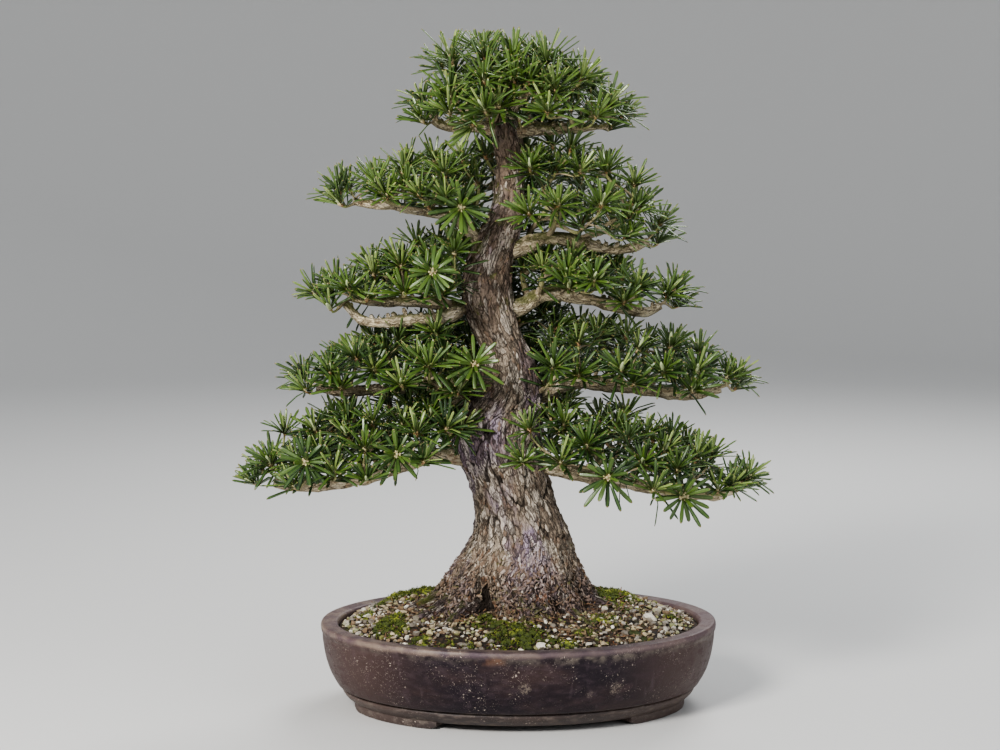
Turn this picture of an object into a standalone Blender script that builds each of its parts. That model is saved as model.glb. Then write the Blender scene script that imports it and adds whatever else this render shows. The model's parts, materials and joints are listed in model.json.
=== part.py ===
"""A Japanese umbrella pine bonsai in an oval, unglazed clay pot.

Lengths are metres, +Z is up, the pot's long axis lies along X and the tree's front faces -Y. The tree is
laid out from the pot's centre on the standing surface. At the end the whole is moved level, so that the
origin lies under the middle of its bounding box.

The trunk is a loft with root buttresses. Its limbs are tapered tubes along smooth routes, grown together
with it. Every limb carries a crown of shoots on a low dome, in sprays. Each shoot ends in a hub, from whose
faces three-sided needles stand out all round.
"""

import math
import random
from dataclasses import dataclass

import bmesh
import bpy
import numpy as np
from mathutils import Matrix, Vector
from mathutils.bvhtree import BVHTree

GAP = 0.0003
UP = Vector((0, 0, 1))

# Pot: semi-axes of the rim, and the wall as (distance in from the rim's outline, height)
POT_HALF_LENGTH = 0.230
POT_HALF_DEPTH = 0.175
POT_SIDES = 38
POT_OUTSIDE = (
    (0.048, 0.008),
    (0.0425, 0.0085),
    (0.0405, 0.012),
    (0.0300, 0.0195),
    (0.0265, 0.0205),
    (0.0120, 0.041),
    (0.006, 0.059),
    (0.0028, 0.077),
    (0.0022, 0.0885),
    (0.0, 0.0895),
    (0.0, 0.0965),
    (0.0015, 0.099),
)
POT_INSIDE = (
    (0.0185, 0.099),
    (0.0200, 0.097),
    (0.0230, 0.070),
    (0.0340, 0.038),
    (0.0560, 0.018),
)
FOOT_FROM = math.radians(14)
FOOT_TO = math.radians(54)
FOOT_STEPS = 4
FOOT_OUTER_INSET = 0.0405
FOOT_INNER_INSET = 0.064
FOOT_TOP = 0.0120
DRAIN_RADIUS = 0.015
DRAIN_OFFSET = 0.085

# Drain screens: slotted plates on the pot's floor
SCREEN_SIDE = 0.042
SCREEN_THICK = 0.0014
SCREEN_SLOTS = 2

# Soil: mounded to the trunk, with gravel as relief
SOIL_EDGE_Z = 0.0935
SOIL_RISE = 0.032
SOIL_RINGS = (0.975, 0.91, 0.84, 0.77, 0.69, 0.61, 0.52, 0.42)
GRAVEL_RELIEF = 0.0034

# Trunk: (x, z, half width) up the trunk, then the root buttresses as (bearing, strength)
TRUNK_BURIED_Z = 0.088
TRUNK_STATIONS = (
    (0.001, 0.113, 0.104),
    (0.001, 0.131, 0.093),
    (0.000, 0.148, 0.082),
    (0.000, 0.166, 0.071),
    (0.002, 0.182, 0.062),
    (0.003, 0.202, 0.0535),
    (-0.002, 0.226, 0.0475),
    (-0.011, 0.257, 0.0450),
    (-0.019, 0.282, 0.0480),
    (-0.025, 0.315, 0.0510),
    (-0.025, 0.338, 0.0510),
    (-0.012, 0.370, 0.0375),
    (-0.014, 0.406, 0.0285),
    (-0.027, 0.438, 0.0275),
    (-0.036, 0.470, 0.0290),
    (-0.036, 0.505, 0.0260),
    (-0.024, 0.545, 0.0245),
    (-0.013, 0.577, 0.0180),
    (-0.011, 0.622, 0.0152),
    (-0.014, 0.662, 0.0165),
    (-0.015, 0.690, 0.0110),
    (-0.008, 0.718, 0.0070),
)
TRUNK_SIDES = 18
TRUNK_DEPTH = 0.88
FLARE_FROM_Z = 0.240
FLARE_WIDTH = math.radians(21)
FLARE_PINCH = 0.20
ROOT_BUTTRESSES = (
    (math.radians(-6), 0.20),
    (math.radians(-48), 0.16),
    (math.radians(-84), 0.13),
    (math.radians(-134), 0.25),
    (math.radians(178), 0.23),
    (math.radians(125), 0.18),
    (math.radians(62), 0.21),
)
BARK_RELIEF = 0.022
LIMB_SIDES = 6
LIMB_STEP = 0.038

# Needles and the shoots that carry them
NEEDLE_LENGTH = 0.034
NEEDLE_WIDTH = 0.0036
NEEDLE_THICK = 0.0016
NEEDLE_CLEARANCE = 0.0063
INNER_LEANS = (26, 48, 54)
OUTER_LEANS = (86, 80, 90)
HUB_RADIUS = 0.0023
HUB_HEIGHT = 0.0030
LEADER_ROOT_RADIUS = 0.0034
LEADER_STEPS = 3
LEADER_FREE = 0.0055
TWIG_ROOT_RADIUS = 0.0020
TWIG_STEPS = 2
TWIG_CLEARANCE = 0.0070
STEM_WOOD_CLEARANCE = 0.0032
NEEDLE_WOOD_CLEARANCE = 0.0040
NEEDLE_SWAY = 9
SITE_JITTER = 0.007
TIP_JITTER = 0.004
AXIS_JITTER = 0.25
TIP_SHOOTS = ((0.8, -0.15), (-0.8, 0.35))

# Sprays: the rise of a limb's two rows of shoots, and the share of the limb where a spray leaves it
LOW_RISE = math.radians(10)
HIGH_RISE = math.radians(60)
INNER_ROOT = 0.24
OUTER_ROOT = 0.50
ROOT_SETBACK = 0.12
TIP_ROOT = 0.99
TWIG_SETBACK = 0.72
TWIG_LAST = 0.75
STEM_REACH = 0.36


@dataclass(frozen=True)
class Limb:
    """One limb: its route from inside the trunk to its tip, and the dome of shoots that it carries."""

    name: str
    route: tuple
    radii: tuple
    crown: tuple = ()
    half_depth: float = 0.0
    stations: tuple = ()
    front_shoots: tuple = ()
    tops: tuple = ()


LONG = (0.32, 0.60, 0.86)
SHORT = (0.40, 0.80)
LIMBS = (
    Limb(
        "tier1_left",
        ((-0.025, 0.000, 0.292), (-0.068, -0.006, 0.291), (-0.096, -0.014, 0.293), (-0.135, -0.024, 0.283),
         (-0.170, -0.028, 0.272), (-0.205, -0.026, 0.264), (-0.250, -0.020, 0.260), (-0.280, -0.012, 0.263)),
        (0.0105, 0.0032), (0.030, 0.050, 0.066, 0.068, 0.022), 0.088, LONG,
        ((-0.241, -0.105, 0.300), (-0.140, -0.108, 0.308)),
    ),
    Limb(
        "tier1_right",
        ((-0.005, 0.000, 0.286), (0.036, -0.006, 0.278), (0.060, -0.014, 0.272), (0.102, -0.022, 0.266),
         (0.145, -0.026, 0.257), (0.191, -0.024, 0.249), (0.224, -0.018, 0.245), (0.246, -0.012, 0.250)),
        (0.0095, 0.0030), (0.045, 0.062, 0.064, 0.050, 0.016), 0.088, LONG,
        ((0.000, -0.094, 0.296), (0.093, -0.108, 0.281), (0.178, -0.100, 0.258)),
    ),
    Limb(
        "tier2_left",
        ((-0.020, 0.000, 0.334), (-0.052, 0.004, 0.344), (-0.072, 0.008, 0.356), (-0.092, 0.010, 0.369),
         (-0.112, 0.010, 0.371), (-0.150, 0.006, 0.367), (-0.200, 0.000, 0.366), (-0.232, -0.004, 0.371)),
        (0.0088, 0.0028), (0.050, 0.060, 0.056, 0.040, 0.012), 0.080, LONG,
        ((-0.054, -0.078, 0.404), (-0.104, -0.084, 0.402)),
    ),
    Limb(
        "tier2_right",
        ((-0.012, 0.000, 0.352), (0.026, 0.006, 0.360), (0.045, 0.010, 0.367), (0.062, 0.012, 0.374),
         (0.102, 0.010, 0.371), (0.150, 0.004, 0.365), (0.200, 0.000, 0.359), (0.232, -0.006, 0.369)),
        (0.0090, 0.0028), (0.040, 0.054, 0.052, 0.050, 0.018), 0.080, LONG,
        ((0.034, -0.072, 0.400),),
    ),
    Limb(
        "tier3_left",
        ((-0.032, 0.000, 0.468), (-0.060, 0.004, 0.462), (-0.097, 0.010, 0.466), (-0.129, 0.012, 0.468),
         (-0.165, 0.010, 0.468), (-0.196, 0.006, 0.474)),
        (0.0070, 0.0026), (0.056, 0.062, 0.058, 0.036, 0.014), 0.074, LONG,
        ((-0.100, -0.088, 0.508),),
    ),
    Limb(
        "tier3_left_low",
        ((-0.062, 0.002, 0.461), (-0.085, -0.012, 0.452), (-0.121, -0.022, 0.450), (-0.153, -0.026, 0.447),
         (-0.182, -0.022, 0.450), (-0.206, -0.016, 0.462)),
        (0.0055, 0.0024),
    ),
    Limb(
        "tier3_right",
        ((-0.022, 0.000, 0.458), (0.004, 0.004, 0.463), (0.023, 0.008, 0.474), (0.045, 0.010, 0.477),
         (0.076, 0.008, 0.471), (0.112, 0.002, 0.462), (0.145, -0.004, 0.456), (0.162, -0.008, 0.464)),
        (0.0085, 0.0026), (0.034, 0.036, 0.034, 0.032, 0.018), 0.074, SHORT,
        ((0.079, -0.084, 0.498),),
    ),
    Limb(
        "tier4_left",
        ((-0.030, 0.000, 0.528), (-0.047, -0.002, 0.541), (-0.064, -0.004, 0.557), (-0.079, -0.006, 0.568),
         (-0.105, -0.006, 0.571), (-0.139, -0.004, 0.577), (-0.170, -0.002, 0.580), (-0.188, 0.000, 0.583)),
        (0.0066, 0.0023), (0.060, 0.060, 0.048, 0.030, 0.012), 0.070, SHORT,
        ((-0.068, -0.070, 0.578),),
    ),
    Limb(
        "tier4_right",
        ((-0.022, 0.000, 0.530), (0.002, -0.003, 0.531), (0.026, -0.006, 0.540), (0.045, -0.008, 0.541),
         (0.070, -0.010, 0.536), (0.104, -0.010, 0.528), (0.130, -0.008, 0.530), (0.147, -0.006, 0.538)),
        (0.0078, 0.0024), (0.092, 0.096, 0.098, 0.088, 0.026), 0.070, SHORT,
        ((0.008, -0.066, 0.570), (0.088, -0.070, 0.580)), (0.20, 0.52, 0.84),
    ),
    Limb(
        "crown_left",
        ((-0.014, 0.000, 0.658), (-0.036, 0.000, 0.666), (-0.060, 0.000, 0.667), (-0.082, -0.002, 0.667),
         (-0.098, -0.004, 0.674)),
        (0.0062, 0.0022), (0.094, 0.094, 0.088, 0.072, 0.026), 0.074, SHORT, (), (0.30, 0.70),
    ),
    Limb(
        "crown_right",
        ((-0.013, 0.000, 0.656), (0.004, -0.004, 0.663), (0.036, -0.006, 0.664), (0.070, -0.006, 0.666),
         (0.090, -0.004, 0.667), (0.100, 0.000, 0.668)),
        (0.0062, 0.0022), (0.094, 0.090, 0.078, 0.054, 0.018), 0.074, SHORT, (), (0.30, 0.70),
    ),
    Limb(
        "crown_front",
        ((-0.014, 0.000, 0.676), (-0.008, -0.014, 0.686), (0.000, -0.028, 0.696), (0.008, -0.040, 0.706)),
        (0.0045, 0.0022), (0.030, 0.024, 0.016), 0.036, (0.9,),
    ),
    Limb(
        "crown_back",
        ((-0.015, 0.002, 0.680), (-0.014, 0.020, 0.690), (-0.008, 0.042, 0.698), (-0.004, 0.058, 0.706)),
        (0.0045, 0.0022), (0.034, 0.026, 0.016), 0.040, (0.9,),
    ),
    Limb(
        "tier1_back",
        ((-0.020, 0.008, 0.325), (-0.026, 0.055, 0.336), (-0.020, 0.100, 0.334), (-0.010, 0.142, 0.328),
         (-0.004, 0.172, 0.332)),
        (0.0085, 0.0030), (0.030, 0.048, 0.044, 0.014), 0.078, SHORT,
    ),
    Limb(
        "tier2_back",
        ((-0.013, 0.006, 0.397), (-0.006, 0.048, 0.410), (-0.012, 0.088, 0.408), (-0.022, 0.124, 0.404),
         (-0.026, 0.148, 0.408)),
        (0.0074, 0.0028), (0.030, 0.044, 0.040, 0.012), 0.070, SHORT,
    ),
    Limb(
        "tier3_back",
        ((-0.037, 0.006, 0.490), (-0.040, 0.043, 0.502), (-0.032, 0.076, 0.500), (-0.026, 0.106, 0.496),
         (-0.022, 0.126, 0.501)),
        (0.0066, 0.0026), (0.026, 0.038, 0.034, 0.012), 0.060, SHORT,
    ),
    Limb(
        "tier4_back",
        ((-0.013, 0.004, 0.590), (-0.012, 0.034, 0.599), (-0.018, 0.060, 0.598), (-0.024, 0.084, 0.596),
         (-0.026, 0.100, 0.600)),
        (0.0056, 0.0024), (0.026, 0.034, 0.030, 0.012), 0.052, SHORT,
    ),
)
CROWN_TOP = ((-0.008, 0.000, 0.749), (0.014, 0.004, 0.742), (-0.036, -0.008, 0.738), (-0.010, -0.036, 0.734),
             (-0.014, 0.034, 0.732))


def clear_scene():
    """Remove every object of the open file."""
    for item in list(bpy.data.objects):
        bpy.data.objects.remove(item, do_unlink=True)


def material(name, colour, roughness):
    """Make a Principled material of one colour."""
    made = bpy.data.materials.new(name)
    made.use_nodes = True
    shader = made.node_tree.nodes["Principled BSDF"]
    shader.inputs["Base Color"].default_value = (*colour, 1.0)
    shader.inputs["Roughness"].default_value = roughness
    shader.inputs["Metallic"].default_value = 0.0
    return made


def mesh_object(name, points, faces, finish=None):
    """Make a linked object from points and faces."""
    mesh = bpy.data.meshes.new(name)
    mesh.from_pydata([tuple(p) for p in points], [], faces)
    mesh.update()
    if finish is not None:
        mesh.materials.append(finish)
    made = bpy.data.objects.new(name, mesh)
    bpy.context.scene.collection.objects.link(made)
    return made


def loft(rings):
    """Join rings of points into one closed skin with a flat face at each end."""
    count = len(rings[0])
    points = [point for ring in rings for point in ring]
    faces = [tuple(reversed(range(count)))]
    for level in range(len(rings) - 1):
        low = level * count
        for i in range(count):
            j = (i + 1) % count
            faces.append((low + i, low + j, low + count + j, low + count + i))
    last = (len(rings) - 1) * count
    faces.append(tuple(range(last, last + count)))
    return points, faces


def tidy_mesh(item):
    """Split an object's faces into triangles and dissolve what has no area."""
    work = bmesh.new()
    work.from_mesh(item.data)
    bmesh.ops.dissolve_degenerate(work, dist=2e-6, edges=work.edges)
    bmesh.ops.triangulate(work, faces=work.faces)
    bmesh.ops.recalc_face_normals(work, faces=work.faces)
    work.to_mesh(item.data)
    work.free()


def combine(base, others, operation="UNION"):
    """Unite others with base, or cut them out of it, and remove them."""
    if not others:
        tidy_mesh(base)
        return base
    group = bpy.data.collections.new(base.name + "_parts")
    for other in others:
        group.objects.link(other)
    step = base.modifiers.new("combine", "BOOLEAN")
    step.operation = operation
    step.operand_type = "COLLECTION"
    step.collection = group
    step.solver = "EXACT"
    bpy.context.view_layer.update()
    result = bpy.data.meshes.new_from_object(base.evaluated_get(bpy.context.evaluated_depsgraph_get()))
    base.modifiers.clear()
    base.data = result
    for other in others:
        bpy.data.objects.remove(other, do_unlink=True)
    bpy.data.collections.remove(group)
    tidy_mesh(base)
    return base


def shade(item):
    """Shade an object smooth, with its sharp edges kept."""
    item.data.shade_smooth()
    item.data.set_sharp_from_angle(angle=math.radians(40))


def ellipse(inset, height, sides=POT_SIDES, share=1.0):
    """A ring of the pot's plan, drawn in from the rim's outline."""
    ring = []
    for i in range(sides):
        turn = 2 * math.pi * i / sides
        x = (POT_HALF_LENGTH - inset) * share * math.cos(turn)
        y = (POT_HALF_DEPTH - inset) * share * math.sin(turn)
        ring.append(Vector((x, y, height)))
    return ring


def pot_foot(quarter):
    """A foot that follows the base of the pot in one quarter of its plan."""
    rings = []
    for i in range(FOOT_STEPS + 1):
        turn = FOOT_FROM + (FOOT_TO - FOOT_FROM) * i / FOOT_STEPS
        turn = turn if quarter % 2 == 0 else math.pi / 2 - turn
        turn += quarter * math.pi / 2
        ring = []
        for inset, height in ((FOOT_OUTER_INSET, FOOT_TOP), (FOOT_OUTER_INSET - 0.001, 0.0),
                              (FOOT_INNER_INSET, 0.0), (FOOT_INNER_INSET, FOOT_TOP)):
            x = (POT_HALF_LENGTH - inset) * math.cos(turn)
            y = (POT_HALF_DEPTH - inset) * math.sin(turn)
            ring.append(Vector((x, y, height)))
        rings.append(ring)
    item = mesh_object("foot", *loft(rings))
    tidy_mesh(item)
    return item


def build_pot(finish):
    """The oval bowl with its lip, base band, four feet and two drain holes."""
    rings = [ellipse(inset, height) for inset, height in POT_OUTSIDE + POT_INSIDE]
    pot = mesh_object("pot", *loft(rings), finish)
    tidy_mesh(pot)
    combine(pot, [pot_foot(quarter) for quarter in range(4)])
    drains = []
    for side in (-1, 1):
        rings = []
        for height in (0.0, 0.030):
            rings.append([Vector((side * DRAIN_OFFSET + DRAIN_RADIUS * math.cos(math.pi * i / 6),
                                  DRAIN_RADIUS * math.sin(math.pi * i / 6), height)) for i in range(12)])
        drains.append(mesh_object("drain", *loft(rings)))
    combine(pot, drains, "DIFFERENCE")
    shade(pot)
    return pot


def build_drain_screen(side, finish):
    """A slotted plate that lies on the pot's floor over one drain hole."""
    columns = 2 * SCREEN_SLOTS + 1
    step = SCREEN_SIDE / columns
    rows = (-SCREEN_SIDE / 2, -SCREEN_SIDE / 2 + step, SCREEN_SIDE / 2 - step, SCREEN_SIDE / 2)
    floor = POT_INSIDE[-1][1] + GAP
    work = bmesh.new()
    grid = [[work.verts.new((side * DRAIN_OFFSET - SCREEN_SIDE / 2 + i * step, y, floor)) for y in rows]
            for i in range(columns + 1)]
    for i in range(columns):
        for j in range(3):
            if i % 2 == 1 and j == 1:
                continue
            work.faces.new((grid[i][j], grid[i][j + 1], grid[i + 1][j + 1], grid[i + 1][j]))
    grown = bmesh.ops.extrude_face_region(work, geom=work.faces[:])
    for element in grown["geom"]:
        if isinstance(element, bmesh.types.BMVert):
            element.co.z += SCREEN_THICK
    name = "drain_screen_left" if side < 0 else "drain_screen_right"
    item = mesh_object(name, [], [], finish)
    bmesh.ops.recalc_face_normals(work, faces=work.faces)
    work.to_mesh(item.data)
    work.free()
    tidy_mesh(item)
    return item


def soil_height(x, y):
    """Height of the mounded soil, without the gravel's relief."""
    inset = POT_INSIDE[1][0]
    reach = (x / (POT_HALF_LENGTH - inset)) ** 2 + (y / (POT_HALF_DEPTH - inset)) ** 2
    return SOIL_EDGE_Z + SOIL_RISE * max(0.0, 1.0 - reach)


def box_at(centre, size):
    """A box of a size round a centre."""
    half = [value / 2 for value in size]
    rings = []
    for z in (-half[2], half[2]):
        rings.append([Vector(centre) + Vector((sx * half[0], sy * half[1], z))
                      for sx, sy in ((-1, -1), (1, -1), (1, 1), (-1, 1))])
    return mesh_object("box", *loft(rings))


def build_soil(finish):
    """The soil that fills the pot, with a plain hole for the trunk and room for the screens."""
    draw = random.Random("gravel")
    clearance = GAP + 0.0001
    rings = [ellipse(inset + clearance, height + clearance) for inset, height in reversed(POT_INSIDE[2:])]
    (high_inset, high), (low_inset, low) = POT_INSIDE[1:3]
    edge_z = SOIL_EDGE_Z - GRAVEL_RELIEF
    edge_inset = low_inset + (high_inset - low_inset) * (edge_z - low) / (high - low) + clearance
    rings.append(ellipse(edge_inset, edge_z))
    for share in SOIL_RINGS:
        ring = ellipse(edge_inset, 0.0, share=share)
        for point in ring:
            point.z = soil_height(point.x, point.y) + draw.uniform(-1, 1) * GRAVEL_RELIEF
        rings.append(ring)
    soil = mesh_object("soil", *loft(rings), finish)
    tidy_mesh(soil)
    buried = trunk_ring(0, clearance)
    hole = [[Vector((p.x, p.y, z)) for p in buried] for z in (TRUNK_BURIED_Z - clearance, 0.2)]
    cutters = [mesh_object("hole", *loft(hole))]
    for side in (-1, 1):
        size = SCREEN_SIDE + 2 * GAP
        floor = POT_INSIDE[-1][1]
        cutters.append(box_at((side * DRAIN_OFFSET, 0, floor), (size, size, 2 * (SCREEN_THICK + 2 * GAP))))
    combine(soil, cutters, "DIFFERENCE")
    shade(soil)
    return soil


def trunk_ring(station, grow=0.0):
    """The trunk's outline at one station, with the buttresses where it flares to the roots."""
    x, z, half_width = TRUNK_STATIONS[station]
    flare = max(0.0, (FLARE_FROM_Z - z) / (FLARE_FROM_Z - TRUNK_STATIONS[0][1])) ** 1.2
    draw = random.Random(f"bark {station}")
    ring = []
    for i in range(TRUNK_SIDES):
        turn = 2 * math.pi * i / TRUNK_SIDES
        lobes = 0.0
        for bearing, strength in ROOT_BUTTRESSES:
            away = math.remainder(turn - bearing, 2 * math.pi) / FLARE_WIDTH
            lobes += strength * math.exp(-away * away)
        radius = half_width * (1 - FLARE_PINCH * flare + flare * lobes + draw.uniform(-1, 1) * BARK_RELIEF)
        radius += grow
        ring.append(Vector((x + radius * math.cos(turn), radius * TRUNK_DEPTH * math.sin(turn), z)))
    return ring


class Route:
    """A smooth curve through points, read by its share of length."""

    def __init__(self, points):
        knots = [Vector(p) for p in points]
        ends = [2 * knots[0] - knots[1]] + knots + [2 * knots[-1] - knots[-2]]
        self.points = [knots[0]]
        for i in range(1, len(ends) - 2):
            a, b, c, d = ends[i - 1:i + 3]
            for step in range(1, 9):
                t = step / 8
                self.points.append(0.5 * (2 * b + (c - a) * t + (2 * a - 5 * b + 4 * c - d) * t * t
                                          + (3 * b - a - 3 * c + d) * t * t * t))
        self.lengths = [0.0]
        for a, b in zip(self.points, self.points[1:]):
            self.lengths.append(self.lengths[-1] + (b - a).length)

    def at(self, share):
        """Point at a share of the length."""
        goal = min(max(share, 0.0), 1.0) * self.lengths[-1]
        for i in range(1, len(self.lengths)):
            if self.lengths[i] >= goal:
                part = (goal - self.lengths[i - 1]) / max(self.lengths[i] - self.lengths[i - 1], 1e-9)
                return self.points[i - 1].lerp(self.points[i], part)
        return self.points[-1].copy()

    def ahead(self, share):
        """Direction of growth at a share of the length."""
        return (self.at(share + 0.03) - self.at(share - 0.03)).normalized()


def tube_rings(path, radii, sides, first_way=None, start_side=None):
    """Rings round a path, each turned from the one before by the smallest turn."""
    tangents = []
    for i in range(len(path)):
        tangents.append((path[min(i + 1, len(path) - 1)] - path[max(i - 1, 0)]).normalized())
    if first_way is not None:
        tangents[0] = first_way
    side = start_side or tangents[0].orthogonal().normalized()
    rings = []
    for i, point in enumerate(path):
        if i > 0:
            side = tangents[i - 1].rotation_difference(tangents[i]) @ side
        side = (side - side.dot(tangents[i]) * tangents[i]).normalized()
        other = tangents[i].cross(side)
        rings.append([point + radii[i] * (math.cos(2 * math.pi * k / sides) * side
                                          + math.sin(2 * math.pi * k / sides) * other) for k in range(sides)])
    return rings


def build_trunk(finish):
    """The trunk with its root flare and all its limbs, as one grown piece."""
    base = trunk_ring(0)
    rings = [[Vector((p.x, p.y, TRUNK_BURIED_Z)) for p in base]]
    rings.append([Vector((p.x, p.y, soil_height(p.x, p.y) + GRAVEL_RELIEF)) for p in base])
    rings += [trunk_ring(station) for station in range(1, len(TRUNK_STATIONS))]
    trunk = mesh_object("trunk", *loft(rings), finish)
    tidy_mesh(trunk)
    limbs = []
    for limb in LIMBS:
        route = Route(limb.route)
        steps = max(3, round(route.lengths[-1] / LIMB_STEP))
        draw = random.Random(limb.name + "_limb")
        path = [route.at(i / steps) for i in range(steps + 1)]
        radii = []
        for i in range(steps + 1):
            taper = (i / steps) ** 0.7
            radii.append((limb.radii[0] * (1 - taper) + limb.radii[1] * taper) * draw.uniform(0.93, 1.08))
        limbs.append(mesh_object(limb.name, *loft(tube_rings(path, radii, LIMB_SIDES))))
        tidy_mesh(limbs[-1])
    combine(trunk, limbs)
    shade(trunk)
    return trunk


NOBODY = -1


class Room:
    """Sample points of everything grown so far, to keep stems and needles clear of each other."""

    def __init__(self, wood):
        self.wood = wood
        self.points = np.zeros((0, 3))
        self.owners = np.zeros(0, dtype=int)

    def add(self, points, owner):
        """Take up the room along some points."""
        self.points = np.vstack([self.points, np.array([tuple(p) for p in points])])
        self.owners = np.append(self.owners, np.full(len(points), owner))

    def is_clear(self, points, owner, distance, wood_distance):
        """Whether points keep their distance from the wood and from every other owner's points."""
        for point in points:
            if self.wood.find_nearest(point, wood_distance)[0] is not None:
                return False
        others = self.points[self.owners != owner]
        if len(others) == 0:
            return True
        own = np.array([tuple(p) for p in points])
        apart = others[None, :, :] - own[:, None, :]
        return float((apart ** 2).sum(axis=2).min()) >= distance * distance


def samples(path, spacing=0.005):
    """Points along a polyline, no further apart than the spacing."""
    found = [path[0]]
    for a, b in zip(path, path[1:]):
        count = max(1, math.ceil((b - a).length / spacing))
        found += [a.lerp(b, i / count) for i in range(1, count + 1)]
    return found


def sweep(start, start_way, end, end_way, steps, bulge):
    """A stem's path that leaves in one direction and arrives in another, bulged aside on the way."""
    reach = (end - start).length * STEM_REACH
    a = start + start_way * reach + bulge * 0.5
    b = end - end_way * reach + bulge
    path = []
    for i in range(steps + 1):
        t = i / steps
        path.append(start * (1 - t) ** 3 + a * 3 * t * (1 - t) ** 2 + b * 3 * t * t * (1 - t) + end * t ** 3)
    return path


ASIDES = ((0, 0, 1), (0, -1, 0), (0, 1, 0), (-1, 0, 0), (1, 0, 0), (0, 0, -1))
BULGES = [Vector((0, 0, 0))] + [Vector(aside) * size for size in (0.010, 0.018) for aside in ASIDES]


@dataclass
class Shoot:
    """One stem with the whorl of needles at its end."""

    path: list
    radii: list
    way: Vector
    axis: Vector
    spin: float


def pad_depth(limb, share):
    """Half the width of a limb's crown of shoots, at a share of its length."""
    return limb.half_depth * math.sin(math.pi * (0.18 + 0.70 * share))


def crown_rise(limb, share):
    """Height of a limb's crown of shoots above it, at a share of its length."""
    place = min(max(share, 0.0), 1.0) * (len(limb.crown) - 1)
    low = min(int(place), len(limb.crown) - 2)
    return limb.crown[low] + (limb.crown[low + 1] - limb.crown[low]) * (place - low)


def pad_site(limb, route, share, rise_angle, side, draw):
    """Place and axis of a shoot's tip on the dome over a limb."""
    forward = route.ahead(share)
    level = Vector((forward.x, forward.y, 0)).normalized()
    out = UP.cross(level) * side
    place = route.at(share) + out * pad_depth(limb, share) * math.cos(rise_angle)
    place += UP * (crown_rise(limb, share) * math.sin(rise_angle) + 0.004)
    place += Vector([draw.uniform(-SITE_JITTER, SITE_JITTER) for _ in range(3)])
    axis = out * math.cos(rise_angle) + UP * (math.sin(rise_angle) + 0.30) + level * (0.2 + 0.5 * share)
    axis += Vector([draw.uniform(-AXIS_JITTER, AXIS_JITTER) for _ in range(3)])
    return place, axis.normalized()


def tip_site(limb, route, side, lift, draw):
    """Place and axis of one of the shoots at a limb's end."""
    forward = route.ahead(1.0)
    level = Vector((forward.x, forward.y, 0)).normalized()
    out = UP.cross(level) * side
    place = route.at(1.0) + level * (0.014 - 0.010 * lift) + out * pad_depth(limb, 0.9) * 0.55
    place += UP * (0.004 + crown_rise(limb, 0.9) * lift)
    place += Vector([draw.uniform(-TIP_JITTER, TIP_JITTER) for _ in range(3)])
    return place, (level + out * 0.5 + UP * (0.25 + 0.8 * lift)).normalized()


def limb_sprays(limb):
    """Sprays of one limb as (name, share of the limb at the root, root's direction, tips)."""
    route = Route(limb.route)
    draw = random.Random(limb.name)
    level = route.ahead(0.5)
    level.z = 0
    level.normalize()
    found = []
    gathered = []
    for side in (1, -1):
        out = UP.cross(level) * side
        if abs(level.x) > abs(level.y):
            side_name = "front" if out.y < 0 else "rear"
        else:
            side_name = "left" if out.x < 0 else "right"
        low = []
        high = []
        for share in limb.stations:
            low.append(pad_site(limb, route, share, LOW_RISE, side, draw))
        for share in limb.tops or limb.stations[:-1]:
            high.append(pad_site(limb, route, share + 0.04, HIGH_RISE, side, draw))
        root_way = (out + UP * 0.5).normalized()
        extra = []
        if side_name == "front":
            for place in limb.front_shoots:
                extra.append((Vector(place), Vector((0.0, -1.0, 0.2)).normalized()))
        if len(extra) > 1:
            low[0] = extra.pop()
        if len(limb.stations) == 1:
            gathered += low
        elif len(limb.stations) == 3:
            inner = [low[0], high[0]]
            outer = [low[1], low[2], high[1]]
            for place in extra:
                to_inner = (place[0] - route.at(INNER_ROOT)).length
                to_outer = (place[0] - route.at(OUTER_ROOT + ROOT_SETBACK)).length
                (outer if to_inner > to_outer else inner).append(place)
            found.append((f"{limb.name}_{side_name}_inner", INNER_ROOT, root_way, inner))
            found.append((f"{limb.name}_{side_name}_outer", OUTER_ROOT, root_way, outer))
        else:
            root = limb.stations[0] - ROOT_SETBACK
            found.append((f"{limb.name}_{side_name}", root, root_way, low + high + extra))
    tips = [tip_site(limb, route, side, lift, draw) for side, lift in TIP_SHOOTS]
    found.append((f"{limb.name}_tip", TIP_ROOT, route.ahead(1.0), gathered + tips))
    return found


def seat(wood, inside, way):
    """Where a stem leaves the wood: the point on its skin in a direction, and the skin's own direction."""
    place, normal, _, _ = wood.ray_cast(inside, way)
    if normal.dot(way) < 0:
        normal = -normal
    return place + normal * (GAP + 0.0001), normal


def clear_stem(room, owner, start, start_way, tip, steps, seated):
    """A stem's path to a tip that keeps clear of all else, or None where there is no room."""
    end, axis = tip
    for bulge in BULGES:
        path = sweep(start, start_way, end, axis, steps, bulge)
        line = samples(path)
        free = line[3:] if seated else line
        if room.is_clear(free, owner, TWIG_CLEARANCE, STEM_WOOD_CLEARANCE):
            room.add(line, owner)
            return path
    return None


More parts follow.
